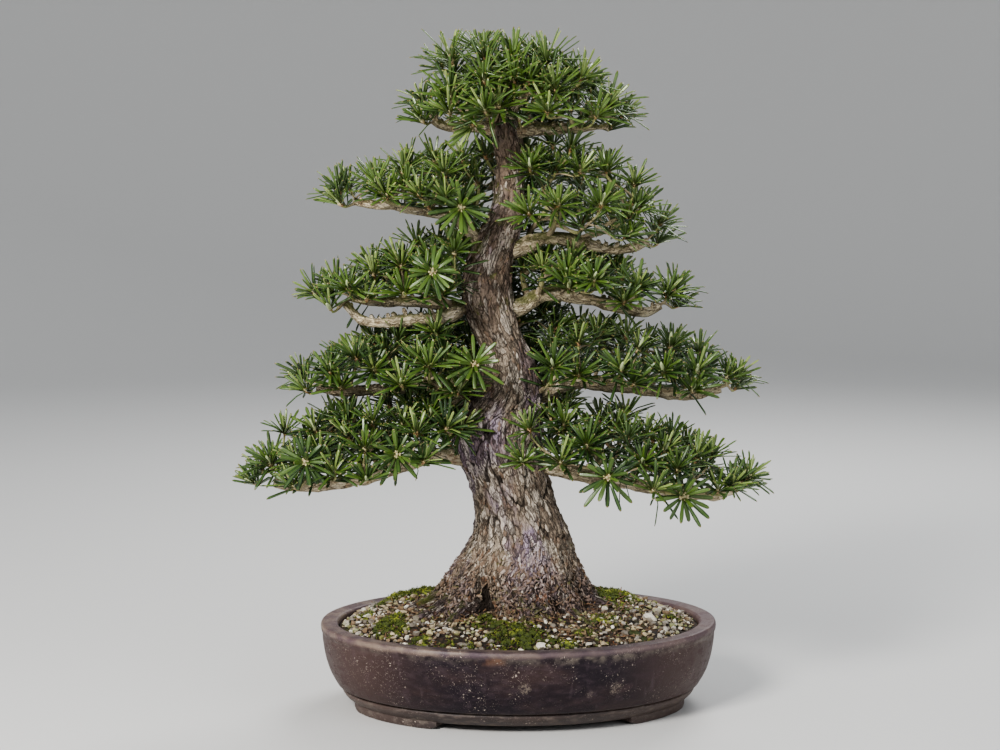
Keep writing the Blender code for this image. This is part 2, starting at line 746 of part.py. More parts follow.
def spray_shoots(room, owner, inside, way, tips, draw):
    """The shoots of one spray: a leader to the furthest tip, and side shoots out of it."""
    start, normal = seat(room.wood, inside, way)
    shoots = []
    leader = []
    first = 0
    for tip in sorted(tips, key=lambda tip: -(tip[0] - start).length - (tip[0] - start).dot(normal)):
        end, axis = tip
        if not shoots:
            path = clear_stem(room, owner, start, normal, tip, LEADER_STEPS, True)
            if path is not None:
                thin = (LEADER_ROOT_RADIUS - HUB_RADIUS) / LEADER_STEPS
                radii = [LEADER_ROOT_RADIUS - thin * i for i in range(LEADER_STEPS + 1)]
                shoots.append(Shoot(path, radii, normal, axis, draw.uniform(0, math.tau)))
                leader = samples(path, 0.003)
                first = next(i for i, p in enumerate(leader)
                             if room.wood.find_nearest(p, LEADER_FREE)[0] is None)
            continue
        near = min(range(len(leader)), key=lambda i: (leader[i] - end).length)
        index = max(int(min(near, TWIG_LAST * len(leader)) * TWIG_SETBACK), first)
        base = leader[index]
        out = ((leader[index + 1] - base).normalized() * 0.7 + (end - base).normalized()).normalized()
        path = clear_stem(room, owner, base, out, tip, TWIG_STEPS, False)
        if path is not None:
            radii = [TWIG_ROOT_RADIUS] * (TWIG_STEPS + 1)
            shoots.append(Shoot(path, radii, out, axis, draw.uniform(0, math.tau)))
    return shoots


def whorl(shoot, room, owner, draw):
    """Points and faces of one shoot: its stem, its hub and the needles round the hub."""
    path = shoot.path
    side = Matrix.Rotation(shoot.spin, 3, shoot.way) @ shoot.way.orthogonal().normalized()
    stem = path[:-1] + [path[-1] - shoot.axis * HUB_HEIGHT / 2]
    beyond = stem + [stem[-1] + shoot.axis * HUB_HEIGHT]
    rings = tube_rings(beyond, shoot.radii + [HUB_RADIUS], 3, shoot.way, side)[:-1]
    low = rings[-1]
    centre = sum(low, Vector()) / 3
    low = [centre + (p - centre).normalized() * HUB_RADIUS for p in low]
    rings[-1] = low
    high = []
    for k in range(3):
        way = (low[k] + low[(k + 1) % 3]) / 2 - centre
        high.append(centre + way.normalized() * HUB_RADIUS + shoot.axis * HUB_HEIGHT)
    points = [p for ring in rings for p in ring] + high
    faces = [(2, 1, 0)]
    for level in range(len(rings) - 1):
        base = level * 3
        for i in range(3):
            j = (i + 1) % 3
            faces.append((base + i, base + j, base + 3 + j))
            faces.append((base + i, base + 3 + j, base + 3 + i))
    last = (len(rings) - 1) * 3
    faces.append((last + 3, last + 4, last + 5))
    sockets = []
    for k in range(3):
        j = (k + 1) % 3
        sockets.append(((last + k, last + j, last + 3 + k), OUTER_LEANS[k]))
        sockets.append(((last + j, last + 3 + j, last + 3 + k), INNER_LEANS[k]))
    for face, lean in sockets:
        tip = place_needle([points[i] for i in face], shoot, centre, math.radians(lean), room, owner, draw)
        if tip is None:
            faces.append(face)
            continue
        at = len(points)
        points += tip
        for i in range(3):
            j = (i + 1) % 3
            faces.append((face[i], face[j], at + j))
            faces.append((face[i], at + j, at + i))
        faces.append((at, at + 1, at + 2))
    return points, faces


NUDGES = ((0, 0), (-14, 0), (14, 0), (0, 16), (0, -16), (-24, 12), (-24, -12), (22, 14), (22, -14), (-36, 0))


def place_needle(base, shoot, centre, lean, room, owner, draw):
    """The end of a needle on one face of a hub, clear of all else, or None where there is no room."""
    middle = sum(base, Vector()) / 3
    out = middle - centre
    out = out - out.dot(shoot.axis) * shoot.axis
    if out.length < HUB_RADIUS * 0.2:
        out = shoot.axis.orthogonal()
    out.normalize()
    lean += math.radians(draw.uniform(-NEEDLE_SWAY, NEEDLE_SWAY))
    turn = math.radians(draw.uniform(-NEEDLE_SWAY, NEEDLE_SWAY))
    length = NEEDLE_LENGTH * draw.uniform(0.88, 1.06)
    for more_lean, more_turn in NUDGES:
        aside = Matrix.Rotation(turn + math.radians(more_turn), 3, shoot.axis) @ out
        tilt = lean + math.radians(more_lean)
        way = shoot.axis * math.cos(tilt) + aside * math.sin(tilt)
        end = middle + way * length
        line = samples([middle, end])
        free = line[2:]
        apart_from_others = room.is_clear(line, owner, NEEDLE_CLEARANCE, NEEDLE_WOOD_CLEARANCE)
        if apart_from_others and room.is_clear(free, NOBODY, NEEDLE_CLEARANCE, NEEDLE_WOOD_CLEARANCE):
            room.add(free, owner)
            break
    else:
        return None
    edges = [(base[1] - base[0], base[2], (0, 1, 2)), (base[2] - base[1], base[0], (1, 2, 0)),
             (base[0] - base[2], base[1], (2, 0, 1))]
    flattest = min(edges, key=lambda item: abs(item[0].normalized().dot(shoot.axis)))
    across = flattest[0] - flattest[0].dot(way) * way
    across.normalize()
    keel = way.cross(across)
    if keel.dot(flattest[1] - middle) < 0:
        keel = -keel
    tip = [None, None, None]
    tip[flattest[2][0]] = end - across * NEEDLE_WIDTH / 2 - keel * NEEDLE_THICK / 3
    tip[flattest[2][1]] = end + across * NEEDLE_WIDTH / 2 - keel * NEEDLE_THICK / 3
    tip[flattest[2][2]] = end + keel * NEEDLE_THICK * 2 / 3
    return tip


def build_sprays(trunk, finish):
    """Every spray of needles, each seated on the limb that carries it."""
    wood = BVHTree.FromPolygons([v.co for v in trunk.data.vertices],
                                [tuple(p.vertices) for p in trunk.data.polygons])
    room = Room(wood)
    plans = []
    for limb in LIMBS:
        if limb.crown:
            route = Route(limb.route)
            for name, share, way, tips in limb_sprays(limb):
                plans.append(("needles_" + name, route.at(share), way, tips))
    top_x, top_z, _ = TRUNK_STATIONS[-1]
    top = Vector((top_x, 0.0, top_z - 0.004))
    top_tips = []
    for place in CROWN_TOP:
        place = Vector(place)
        top_tips.append((place, (place - top + UP * 0.02).normalized()))
    plans.append(("needles_crown_top", top, UP, top_tips))
    grown = []
    for owner, (name, inside, way, tips) in enumerate(plans):
        grown.append(spray_shoots(room, owner, inside, way, tips, random.Random(name)))
    sprays = []
    for owner, (name, _, _, _) in enumerate(plans):
        draw = random.Random(name + "_needles")
        pieces = []
        for number, shoot in enumerate(grown[owner]):
            points, faces = whorl(shoot, room, owner, draw)
            title = name if number == 0 else "shoot"
            pieces.append(mesh_object(title, points, faces, finish))
        sprays.append(combine(pieces[0], pieces[1:]))
    return sprays


def main():
    """Build the bonsai and centre it over the origin."""
    clear_scene()
    clay = material("unglazed_clay", (0.085, 0.060, 0.058), 0.75)
    screen = material("screen_plastic", (0.03, 0.03, 0.03), 0.6)
    gravel = material("soil_gravel", (0.24, 0.20, 0.15), 0.95)
    bark = material("bark", (0.36, 0.29, 0.24), 0.9)
    needle = material("needle_green", (0.06, 0.15, 0.035), 0.45)
    trunk = build_trunk(bark)
    pieces = [build_pot(clay), build_drain_screen(-1, screen), build_drain_screen(1, screen),
              build_soil(gravel), trunk]
    pieces += build_sprays(trunk, needle)
    corners = np.vstack([np.array([tuple(v.co) for v in item.data.vertices]) for item in pieces])
    middle = (corners.min(axis=0) + corners.max(axis=0)) / 2
    whole = bpy.data.objects.new("bonsai", None)
    bpy.context.scene.collection.objects.link(whole)
    whole.location = (-middle[0], -middle[1], 0.0)
    for item in pieces:
        item.parent = whole


main()
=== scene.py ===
"""Looks of a Japanese umbrella pine bonsai in an oval clay pot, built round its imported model.

Lengths are metres and +Z is up. The tree is laid out from the pot's centre on the standing surface, with its
front towards -Y, and each mesh is moved from there to the pot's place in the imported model.
"""

from __future__ import annotations

import json
import logging
import math
import random
from collections.abc import Iterator
from dataclasses import dataclass, field
from enum import Enum
from functools import cache, cached_property
from typing import ClassVar

import bmesh
import bpy
import numpy as np
from mathutils import Matrix, Vector, noise
from mathutils.bvhtree import BVHTree
from mathutils.geometry import interpolate_bezier

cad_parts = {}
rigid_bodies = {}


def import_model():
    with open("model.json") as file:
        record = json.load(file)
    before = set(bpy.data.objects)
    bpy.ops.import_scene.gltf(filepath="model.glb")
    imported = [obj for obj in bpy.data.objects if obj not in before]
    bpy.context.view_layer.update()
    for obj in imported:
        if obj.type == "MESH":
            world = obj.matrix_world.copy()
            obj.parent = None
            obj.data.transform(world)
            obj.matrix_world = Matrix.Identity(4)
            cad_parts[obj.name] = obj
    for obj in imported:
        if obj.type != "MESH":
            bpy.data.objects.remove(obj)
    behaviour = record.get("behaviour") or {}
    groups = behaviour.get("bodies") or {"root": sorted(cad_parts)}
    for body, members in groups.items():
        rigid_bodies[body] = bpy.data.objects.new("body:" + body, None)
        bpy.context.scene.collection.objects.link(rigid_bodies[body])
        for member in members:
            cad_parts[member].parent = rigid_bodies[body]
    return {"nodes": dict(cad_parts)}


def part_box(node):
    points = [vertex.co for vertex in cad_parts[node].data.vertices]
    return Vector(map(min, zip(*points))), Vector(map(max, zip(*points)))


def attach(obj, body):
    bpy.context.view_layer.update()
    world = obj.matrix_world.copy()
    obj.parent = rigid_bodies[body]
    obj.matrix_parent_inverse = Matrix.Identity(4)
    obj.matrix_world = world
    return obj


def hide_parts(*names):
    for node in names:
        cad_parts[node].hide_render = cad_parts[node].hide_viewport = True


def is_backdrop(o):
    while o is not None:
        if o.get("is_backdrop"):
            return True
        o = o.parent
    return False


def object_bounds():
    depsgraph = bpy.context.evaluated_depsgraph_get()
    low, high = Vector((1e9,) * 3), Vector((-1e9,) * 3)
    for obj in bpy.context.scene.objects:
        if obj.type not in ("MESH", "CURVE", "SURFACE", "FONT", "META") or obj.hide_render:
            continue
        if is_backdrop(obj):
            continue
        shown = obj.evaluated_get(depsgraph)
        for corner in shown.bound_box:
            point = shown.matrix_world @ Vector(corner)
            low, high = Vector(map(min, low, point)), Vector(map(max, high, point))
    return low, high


LOG = logging.getLogger("bonsai")
UP = Vector((0.0, 0.0, 1.0))
MARKS = "marks"
GRAIN = "grain"
NOISE_SEED = 11

Pair = tuple[float, float]
Point = tuple[float, float, float]
Face = tuple[int, ...]
Colour = tuple[float, float, float]
Socket = bpy.types.NodeSocket
# A socket to link, or a constant to set
Feed = object


class Slot(Enum):
    """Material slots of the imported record."""

    CLAY = "unglazed_clay"
    SOIL = "soil_gravel"
    BARK = "bark"
    NEEDLE = "needle_green"


class Age(Enum):
    """Age of a whorl of needles, as (outer, middle, inner needles, tone)."""

    HERO = (12, 6, 3, 0.52)
    FULL = (12, 8, 5, 0.47)
    YOUNG = (10, 7, 5, 0.60)
    INNER = (9, 5, 0, 0.18)
    OLD = (8, 0, 0, 0.08)


class Cut(Enum):
    """How finely a needle is cut: rows of (share of length, share of width) and (across, up, groove)."""

    STAR = (((0.0, 0.36), (0.34, 0.74), (0.72, 1.0), (0.94, 0.78), (1.0, 0.30)),
            ((-1.0, 0.0, 0.0), (-0.50, 0.46, 0.25), (0.0, 0.06, 1.0), (0.50, 0.46, 0.25), (1.0, 0.0, 0.0),
             (0.0, -0.46, -1.0)))
    FINE = (((0.0, 0.36), (0.42, 0.86), (0.90, 0.92), (1.0, 0.34)), STAR[1])
    PLAIN = (FINE[0], ((-1.0, 0.0, 0.0), (0.0, 0.30, 0.9), (1.0, 0.0, 0.0), (0.0, -0.46, -1.0)))


class Effect(Enum):
    """Node groups that finishes share, as (name, number inputs with their defaults, output)."""

    BLOTCHES = ("blotches", {"Scale": 10.0, "Low": 0.45, "High": 0.6}, "Mask")
    FLECKS = ("flecks", {"Scale": 300.0, "Size": 0.25, "Share": 0.2}, "Mask")
    GRIT = ("grit", {"Scale": 600.0, "Coarse": 90.0}, "Height")
    FILM = ("film", {"Scale": 40.0, "Up": 0.0, "Amount": 0.5}, "Mask")
    CRACKS = ("cracks", {"Scale": 100.0, "Width": 0.03}, "Mask")
    SCALES = ("scales", {"Scale": 200.0, "Gap": 0.06, "Bend": 0.004}, "Height")


def smooth(value: float, low: float, high: float) -> float:
    """Smooth step from 0 at low to 1 at high."""
    share = min(max((value - low) / (high - low), 0.0), 1.0)
    return share * share * (3.0 - 2.0 * share)


def jitter(draw: random.Random, size: float) -> Vector:
    """A random offset, up to a size along each axis."""
    return Vector([draw.uniform(-size, size) for _ in range(3)])


def metres(*rows: tuple[float, ...]) -> tuple[tuple[float, ...], ...]:
    """Rows of millimetres as rows of metres."""
    return tuple(tuple(value / 1000 for value in row) for row in rows)


def mark_rows(*columns: Feed) -> np.ndarray:
    """Surface marks from three columns, where a plain number fills its column."""
    return np.column_stack(np.broadcast_arrays(*columns)).astype(float)


# Meshes


class Heap:
    """Points, faces and surface marks of one piece, gathered from many small parts."""

    # Place of the pot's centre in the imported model
    shift: ClassVar[Vector] = Vector()

    def __init__(self) -> None:
        """Start with an empty heap."""
        self.points: list[np.ndarray] = []
        self.marks: list[np.ndarray] = []
        self.grain: list[np.ndarray] = []
        self.faces: list[Face] = []
        self.slots: list[int] = []
        self.count = 0

    def add(self, points: Feed, faces: list[Face], marks: Feed = (0.0, 0.0, 0.0), slot: int = 0,
            grain: Feed = None) -> None:
        """Add one part.

        Args:
            points: Rows of x, y, z.
            faces: Rows of point numbers within this part.
            marks: Three values for the part, or a row of three for each point.
            slot: Number of the finish that the part takes.
            grain: Coordinates that follow the wood's grain, a row for each point.
        """
        rows = points if isinstance(points, np.ndarray) else [tuple(p) for p in points]
        block = np.array(rows, dtype=float)
        self.points.append(block)
        self.marks.append(np.broadcast_to(np.asarray(marks, dtype=float), block.shape))
        self.grain.append(block if grain is None else np.asarray(grain, dtype=float))
        self.faces.extend(tuple(i + self.count for i in row) for row in faces)
        self.slots.extend([slot] * len(faces))
        self.count += len(block)

    def make(self, name: str, finishes: list[Finish], slot: Slot | None = None, node: str = "",
             sharp: float | None = None) -> bpy.types.Object:
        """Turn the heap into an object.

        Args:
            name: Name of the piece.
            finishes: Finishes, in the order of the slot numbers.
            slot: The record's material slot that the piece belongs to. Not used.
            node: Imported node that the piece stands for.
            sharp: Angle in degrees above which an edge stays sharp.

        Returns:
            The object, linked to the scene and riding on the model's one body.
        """
        mesh = bpy.data.meshes.new(name)
        mesh.from_pydata((np.vstack(self.points) + self.shift).tolist(), [], self.faces)
        for title, rows in ((MARKS, self.marks), (GRAIN, self.grain)):
            layer = mesh.attributes.new(title, "FLOAT_VECTOR", "POINT")
            layer.data.foreach_set("vector", np.vstack(rows).astype(np.float32).ravel())
        for finish in finishes:
            mesh.materials.append(finish.made())
        mesh.polygons.foreach_set("material_index", self.slots)
        mesh.shade_smooth()
        if sharp is not None:
            mesh.set_sharp_from_angle(angle=math.radians(sharp))
        mesh.update()
        made = bpy.data.objects.new(name, mesh)
        bpy.context.scene.collection.objects.link(made)
        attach(made, "root")
        if node:
            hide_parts(node)
        return made


class Route:
    """A smooth curve through points, read by its share of length."""

    def __init__(self, points: tuple[Point, ...]) -> None:
        """Lay the curve.

        Args:
            points: Points that the curve passes through.
        """
        knots = [Vector(p) for p in points]
        ends = [2 * knots[0] - knots[1]] + knots + [2 * knots[-1] - knots[-2]]
        self.points = [knots[0]]
        for a, b, c, d in zip(ends, ends[1:], ends[2:], ends[3:]):
            self.points += interpolate_bezier(b, b + (c - a) / 6, c - (d - b) / 6, c, 9)[1:]
        self.lengths = [0.0]
        for a, b in zip(self.points, self.points[1:]):
            self.lengths.append(self.lengths[-1] + (b - a).length)

    def at(self, share: float) -> Vector:
        """Point at a share of the length.

        Args:
            share: Share of the length.

        Returns:
            The point.
        """
        goal = min(max(share, 0.0), 1.0) * self.lengths[-1]
        for i in range(1, len(self.lengths)):
            if self.lengths[i] >= goal:
                part = (goal - self.lengths[i - 1]) / max(self.lengths[i] - self.lengths[i - 1], 1e-9)
                return self.points[i - 1].lerp(self.points[i], part)
        return self.points[-1].copy()

    def ahead(self, share: float) -> Vector:
        """Direction of growth at a share of the length."""
        return (self.at(share + 0.03) - self.at(share - 0.03)).normalized()

    def nearest_share(self, place: Vector) -> float:
        """Share of the length at the point nearest to a place."""
        near = min(range(len(self.points)), key=lambda i: (self.points[i] - place).length)
        return self.lengths[near] / self.lengths[-1]


def tube(path: list[Vector], radii: list[float], sides: int
         ) -> tuple[list[Vector], list[Face], list[Vector]]:
    """A closed tube round a path.

    Args:
        path: Points along the middle.
        radii: Radius at each point.
        sides: Number of points round the tube.

    Returns:
        Points, faces, and the direction from the path to each point.
    """
    ways = [(path[min(i + 1, len(path) - 1)] - path[max(i - 1, 0)]).normalized() for i in range(len(path))]
    side = ways[0].orthogonal().normalized()
    points = []
    outs = []
    for i, place in enumerate(path):
        if i > 0:
            side = ways[i - 1].rotation_difference(ways[i]) @ side
        side = (side - side.dot(ways[i]) * ways[i]).normalized()
        other = ways[i].cross(side)
        for k in range(sides):
            turn = math.tau * k / sides
            outs.append(math.cos(turn) * side + math.sin(turn) * other)
            points.append(place + radii[i] * outs[-1])
    return points, tube_faces(len(path), sides), outs


def tube_faces(rings: int, sides: int) -> list[Face]:
    """Faces of rings of points joined in a row, closed at both ends.

    Args:
        rings: Number of rings.
        sides: Number of points in a ring.

    Returns:
        The faces.
    """
    faces: list[Face] = [tuple(reversed(range(sides)))]
    for low in range(0, (rings - 1) * sides, sides):
        for i in range(sides):
            j = (i + 1) % sides
            faces.append((low + i, low + j, low + sides + j, low + sides + i))
    last = (rings - 1) * sides
    return faces + [tuple(range(last, last + sides))]


def ball(subdivisions: int) -> tuple[np.ndarray, list[Face]]:
    """Points and faces of a unit ball of triangles.

    Args:
        subdivisions: How often the faces are split.

    Returns:
        Points and faces.
    """
    work = bmesh.new()
    bmesh.ops.create_icosphere(work, subdivisions=subdivisions, radius=1.0)
    points = np.array([tuple(v.co) for v in work.verts])
    faces = [tuple(v.index for v in f.verts) for f in work.faces]
    work.free()
    return points, faces


# Drawing of shader nodes


class Pen:
    """Adds nodes to one node tree and links them."""

    def __init__(self, tree: bpy.types.NodeTree) -> None:
        """Take the tree to draw in."""
        self.tree = tree

    def put(self, socket: Socket, value: Feed) -> None:
        """Link a socket to a socket, or give it a constant.

        Args:
            socket: Input of a node.
            value: Socket or constant.
        """
        if isinstance(value, bpy.types.NodeSocket):
            self.tree.links.new(value, socket)
        elif isinstance(value, tuple) and len(value) == 3 and socket.type == "RGBA":
            socket.default_value = (*value, 1.0)
        else:
            socket.default_value = value

    def add(self, kind: str, inputs: dict[str | int, Feed] | None = None,
            **settings: Feed) -> bpy.types.Node:
        """Add a node.

        Args:
            kind: Type of the node, without its common prefix.
            inputs: Sockets or constants by the name or number of the input.
            settings: Properties of the node.

        Returns:
            The node.
        """
        node = self.tree.nodes.new("ShaderNode" + kind)
        for name, value in settings.items():
            setattr(node, name, value)
        for name, value in (inputs or {}).items():
            self.put(node.inputs[name], value)
        return node

    def math(self, operation: str, a: Feed, b: Feed = 0.0) -> Socket:
        """A sum on two values."""
        return self.add("Math", {0: a, 1: b}, operation=operation).outputs[0]

    def times(self, first: Feed, *others: Feed) -> Socket:
        """Product of values.

        Args:
            first: First value.
            others: The other values.

        Returns:
            The product.
        """
        for other in others:
            first = self.math("MULTIPLY", first, other)
        return first

    def plus(self, a: Feed, b: Feed) -> Socket:
        """Sum of two values."""
        return self.math("ADD", a, b)

    def less(self, a: Feed, b: Feed) -> Socket:
        """First value less the second."""
        return self.math("SUBTRACT", a, b)

    def most(self, first: Feed, *others: Feed) -> Socket:
        """The greatest of values.

        Args:
            first: First value.
            others: The other values.

        Returns:
            The greatest.
        """
        for other in others:
            first = self.math("MAXIMUM", first, other)
        return first

    def mix(self, mask: Feed, low: Feed, high: Feed, amount: float = 1.0) -> Socket:
        """Colour low where the mask is 0 and, by an amount, high where it is 1."""
        mask = mask if amount == 1.0 else self.times(mask, amount)
        return self.add("Mix", {0: mask, 6: low, 7: high}, data_type="RGBA").outputs[2]

    def step(self, value: Feed, low: Feed, high: Feed, start: Feed = 0.0, end: Feed = 1.0) -> Socket:
        """Smooth step of a value from start at low to end at high."""
        return self.add("MapRange", {"Value": value, "From Min": low, "From Max": high, "To Min": start,
                                     "To Max": end}, interpolation_type="SMOOTHSTEP").outputs["Result"]

    def cloud(self, vector: Feed, scale: Feed, detail: float, roughness: float = 0.55) -> Socket:
        """Noise between 0 and 1."""
        return self.add("TexNoise", {"Vector": vector, "Scale": scale, "Detail": detail,
                                     "Roughness": roughness}).outputs["Fac"]

    def wander(self, vector: Feed, scale: Feed) -> Socket:
        """Noise of three values, each between 0 and 1."""
        return self.add("TexNoise", {"Vector": vector, "Scale": scale, "Detail": 3.0}).outputs["Color"]

    def vector(self, operation: str, a: Feed, b: Feed) -> Socket:
        """A sum on two vectors."""
        return self.add("VectorMath", {0: a, 1: b}, operation=operation).outputs[0]

    def tall(self, vector: Feed, share: float) -> Socket:
        """Coordinates whose height is taken by a share, so that what they carry grows tall as it falls."""
        return self.vector("MULTIPLY", vector, (1.0, 1.0, share))

    def parts(self, vector: Feed) -> list[Socket]:
        """The three values of a vector."""
        return list(self.add("SeparateXYZ", {"Vector": vector}).outputs)

    def marks(self, title: str = MARKS) -> Socket:
        """The vector that a mesh carries under a title."""
        return self.add("Attribute", attribute_name=title).outputs["Vector"]

    def upward(self) -> Socket:
        """How much the surface faces up, from -1 to 1."""
        return self.parts(self.add("NewGeometry").outputs["Normal"])[2]

    def laid(self, effect: Effect, vector: Feed, *values: Feed) -> Socket:
        """Place a shared node group, with values in the order of its inputs, and give its output.

        Args:
            effect: The node group.
            vector: Its first input.
            values: Its number inputs.

        Returns:
            Its output.
        """
        node = self.add("Group", node_tree=bpy.data.node_groups[effect.value[0]])
        for socket, value in zip(node.inputs, (vector, *values)):
            self.put(socket, value)
        return node.outputs[0]


class Effects:
    """Builds the node groups that finishes share, each once."""

    def __init__(self) -> None:
        """Build every group."""
        drawn = {Effect.BLOTCHES: self.blotches, Effect.FLECKS: self.flecks, Effect.GRIT: self.grit,
                 Effect.FILM: self.film, Effect.CRACKS: self.cracks, Effect.SCALES: self.scales}
        for effect, draw in drawn.items():
            name, inputs, output = effect.value
            made = bpy.data.node_groups.new(name, "ShaderNodeTree")
            made.interface.new_socket("Vector", in_out="INPUT", socket_type="NodeSocketVector")
            for title, value in inputs.items():
                number = made.interface.new_socket(title, in_out="INPUT", socket_type="NodeSocketFloat")
                number.default_value = value
            made.interface.new_socket(output, in_out="OUTPUT", socket_type="NodeSocketFloat")
            fed = made.nodes.new("NodeGroupInput").outputs
            pen = Pen(made)
            result = draw(pen, *list(fed)[:len(inputs) + 1])
            pen.put(made.nodes.new("NodeGroupOutput").inputs[0], result)

    def blotches(self, pen: Pen, place: Socket, scale: Socket, low: Socket, high: Socket) -> Socket:
        """Soft-edged blotches, covering more as low falls."""
        return pen.step(pen.cloud(place, scale, 5.0, 0.6), low, high)

    def flecks(self, pen: Pen, place: Socket, scale: Socket, size: Socket, share: Socket) -> Socket:
        """Small separate flecks: size is their share of a cell, share is how many cells have one.

        Args:
            pen: Draws the nodes.
            place: Places in metres.
            scale: Cells in a metre.
            size: Share of a cell.
            share: Share of the cells.

        Returns:
            The mask.
        """
        bent = pen.vector("MULTIPLY", pen.wander(place, 480.0), (0.0048, 0.0048, 0.0048))
        cells = pen.add("TexVoronoi", {"Vector": pen.vector("ADD", place, bent), "Scale": scale})
        near = pen.math("LESS_THAN", cells.outputs["Distance"], size)
        return pen.times(near, pen.math("LESS_THAN", pen.parts(cells.outputs["Color"])[0], share))

    def grit(self, pen: Pen, place: Socket, scale: Socket, coarse: Socket) -> Socket:
        """Fine height of grains over a coarser roughness."""
        return pen.plus(pen.times(pen.cloud(place, scale, 3.0, 0.7), 0.45),
                        pen.cloud(place, coarse, 4.0, 0.6))

    def film(self, pen: Pen, place: Socket, scale: Socket, up: Socket, amount: Socket) -> Socket:
        """A growth of moss or algae, in patches, more on what faces up."""
        cloud = pen.cloud(place, scale, 6.0, 0.65)
        return pen.step(pen.plus(pen.plus(cloud, pen.times(up, 0.22)), amount), 0.98, 1.16)

    def cracks(self, pen: Pen, place: Socket, scale: Socket, width: Socket) -> Socket:
        """Thin wandering cracks, 1 inside them."""
        away = pen.math("ABSOLUTE", pen.less(pen.cloud(place, scale, 3.0, 0.6), 0.5))
        return pen.step(away, width, 0.0)

    def scales(self, pen: Pen, place: Socket, scale: Socket, gap: Socket, bend: Socket) -> Socket:
        """Ragged scales, each of its own height from 0.3 to 1, with 0 in the gaps between.

        Args:
            pen: Draws the nodes.
            place: Places in metres.
            scale: Scales in a metre.
            gap: Width of the gaps.
            bend: How far the edges wander.

        Returns:
            The height.
        """
        middle = pen.vector("SUBTRACT", pen.wander(place, scale), (0.5, 0.5, 0.5))
        bent = pen.add("VectorMath", {0: middle, "Scale": bend}, operation="SCALE").outputs[0]
        cell = {"Vector": pen.vector("ADD", place, bent), "Scale": scale}
        tone = pen.parts(pen.add("TexVoronoi", cell).outputs["Color"])[0]
        edges = pen.add("TexVoronoi", cell, feature="DISTANCE_TO_EDGE").outputs["Distance"]
        return pen.times(pen.step(tone, 0.0, 1.0, 0.3, 1.0), pen.step(edges, 0.0, gap))


# Finishes


@dataclass(frozen=True)
class Coat:
    """What a finish paints: colour, roughness, bump height with its real depth and strength, and gloss."""

    colour: Feed
    roughness: Feed
    height: Feed = None
    depth: float = 0.0
    strength: float = 1.0
    gloss: float = 0.5


@dataclass(frozen=True)
class Finish:
    """A procedural material, which each kind of finish paints in its own way."""

    name: str

    def paint(self, pen: Pen, place: Socket) -> Coat:
        """Draw the nodes of the finish over places in metres."""
        raise NotImplementedError

    @cache
    def made(self) -> bpy.types.Material:
        """The material, built at its first use.

        Returns:
            The material.
        """
        made = bpy.data.materials.new(self.name)
        made.use_nodes = True
        pen = Pen(made.node_tree)
        shader = made.node_tree.nodes["Principled BSDF"]
        coat = self.paint(pen, pen.add("TexCoord").outputs["Object"])
        pen.put(shader.inputs["Base Color"], coat.colour)
        pen.put(shader.inputs["Roughness"], coat.roughness)
        shader.inputs["Specular IOR Level"].default_value = coat.gloss
        if coat.height is not None:
            bump = pen.add("Bump",
                           {"Height": coat.height, "Distance": coat.depth, "Strength": coat.strength})
            pen.put(shader.inputs["Normal"], bump.outputs["Normal"])
        return made


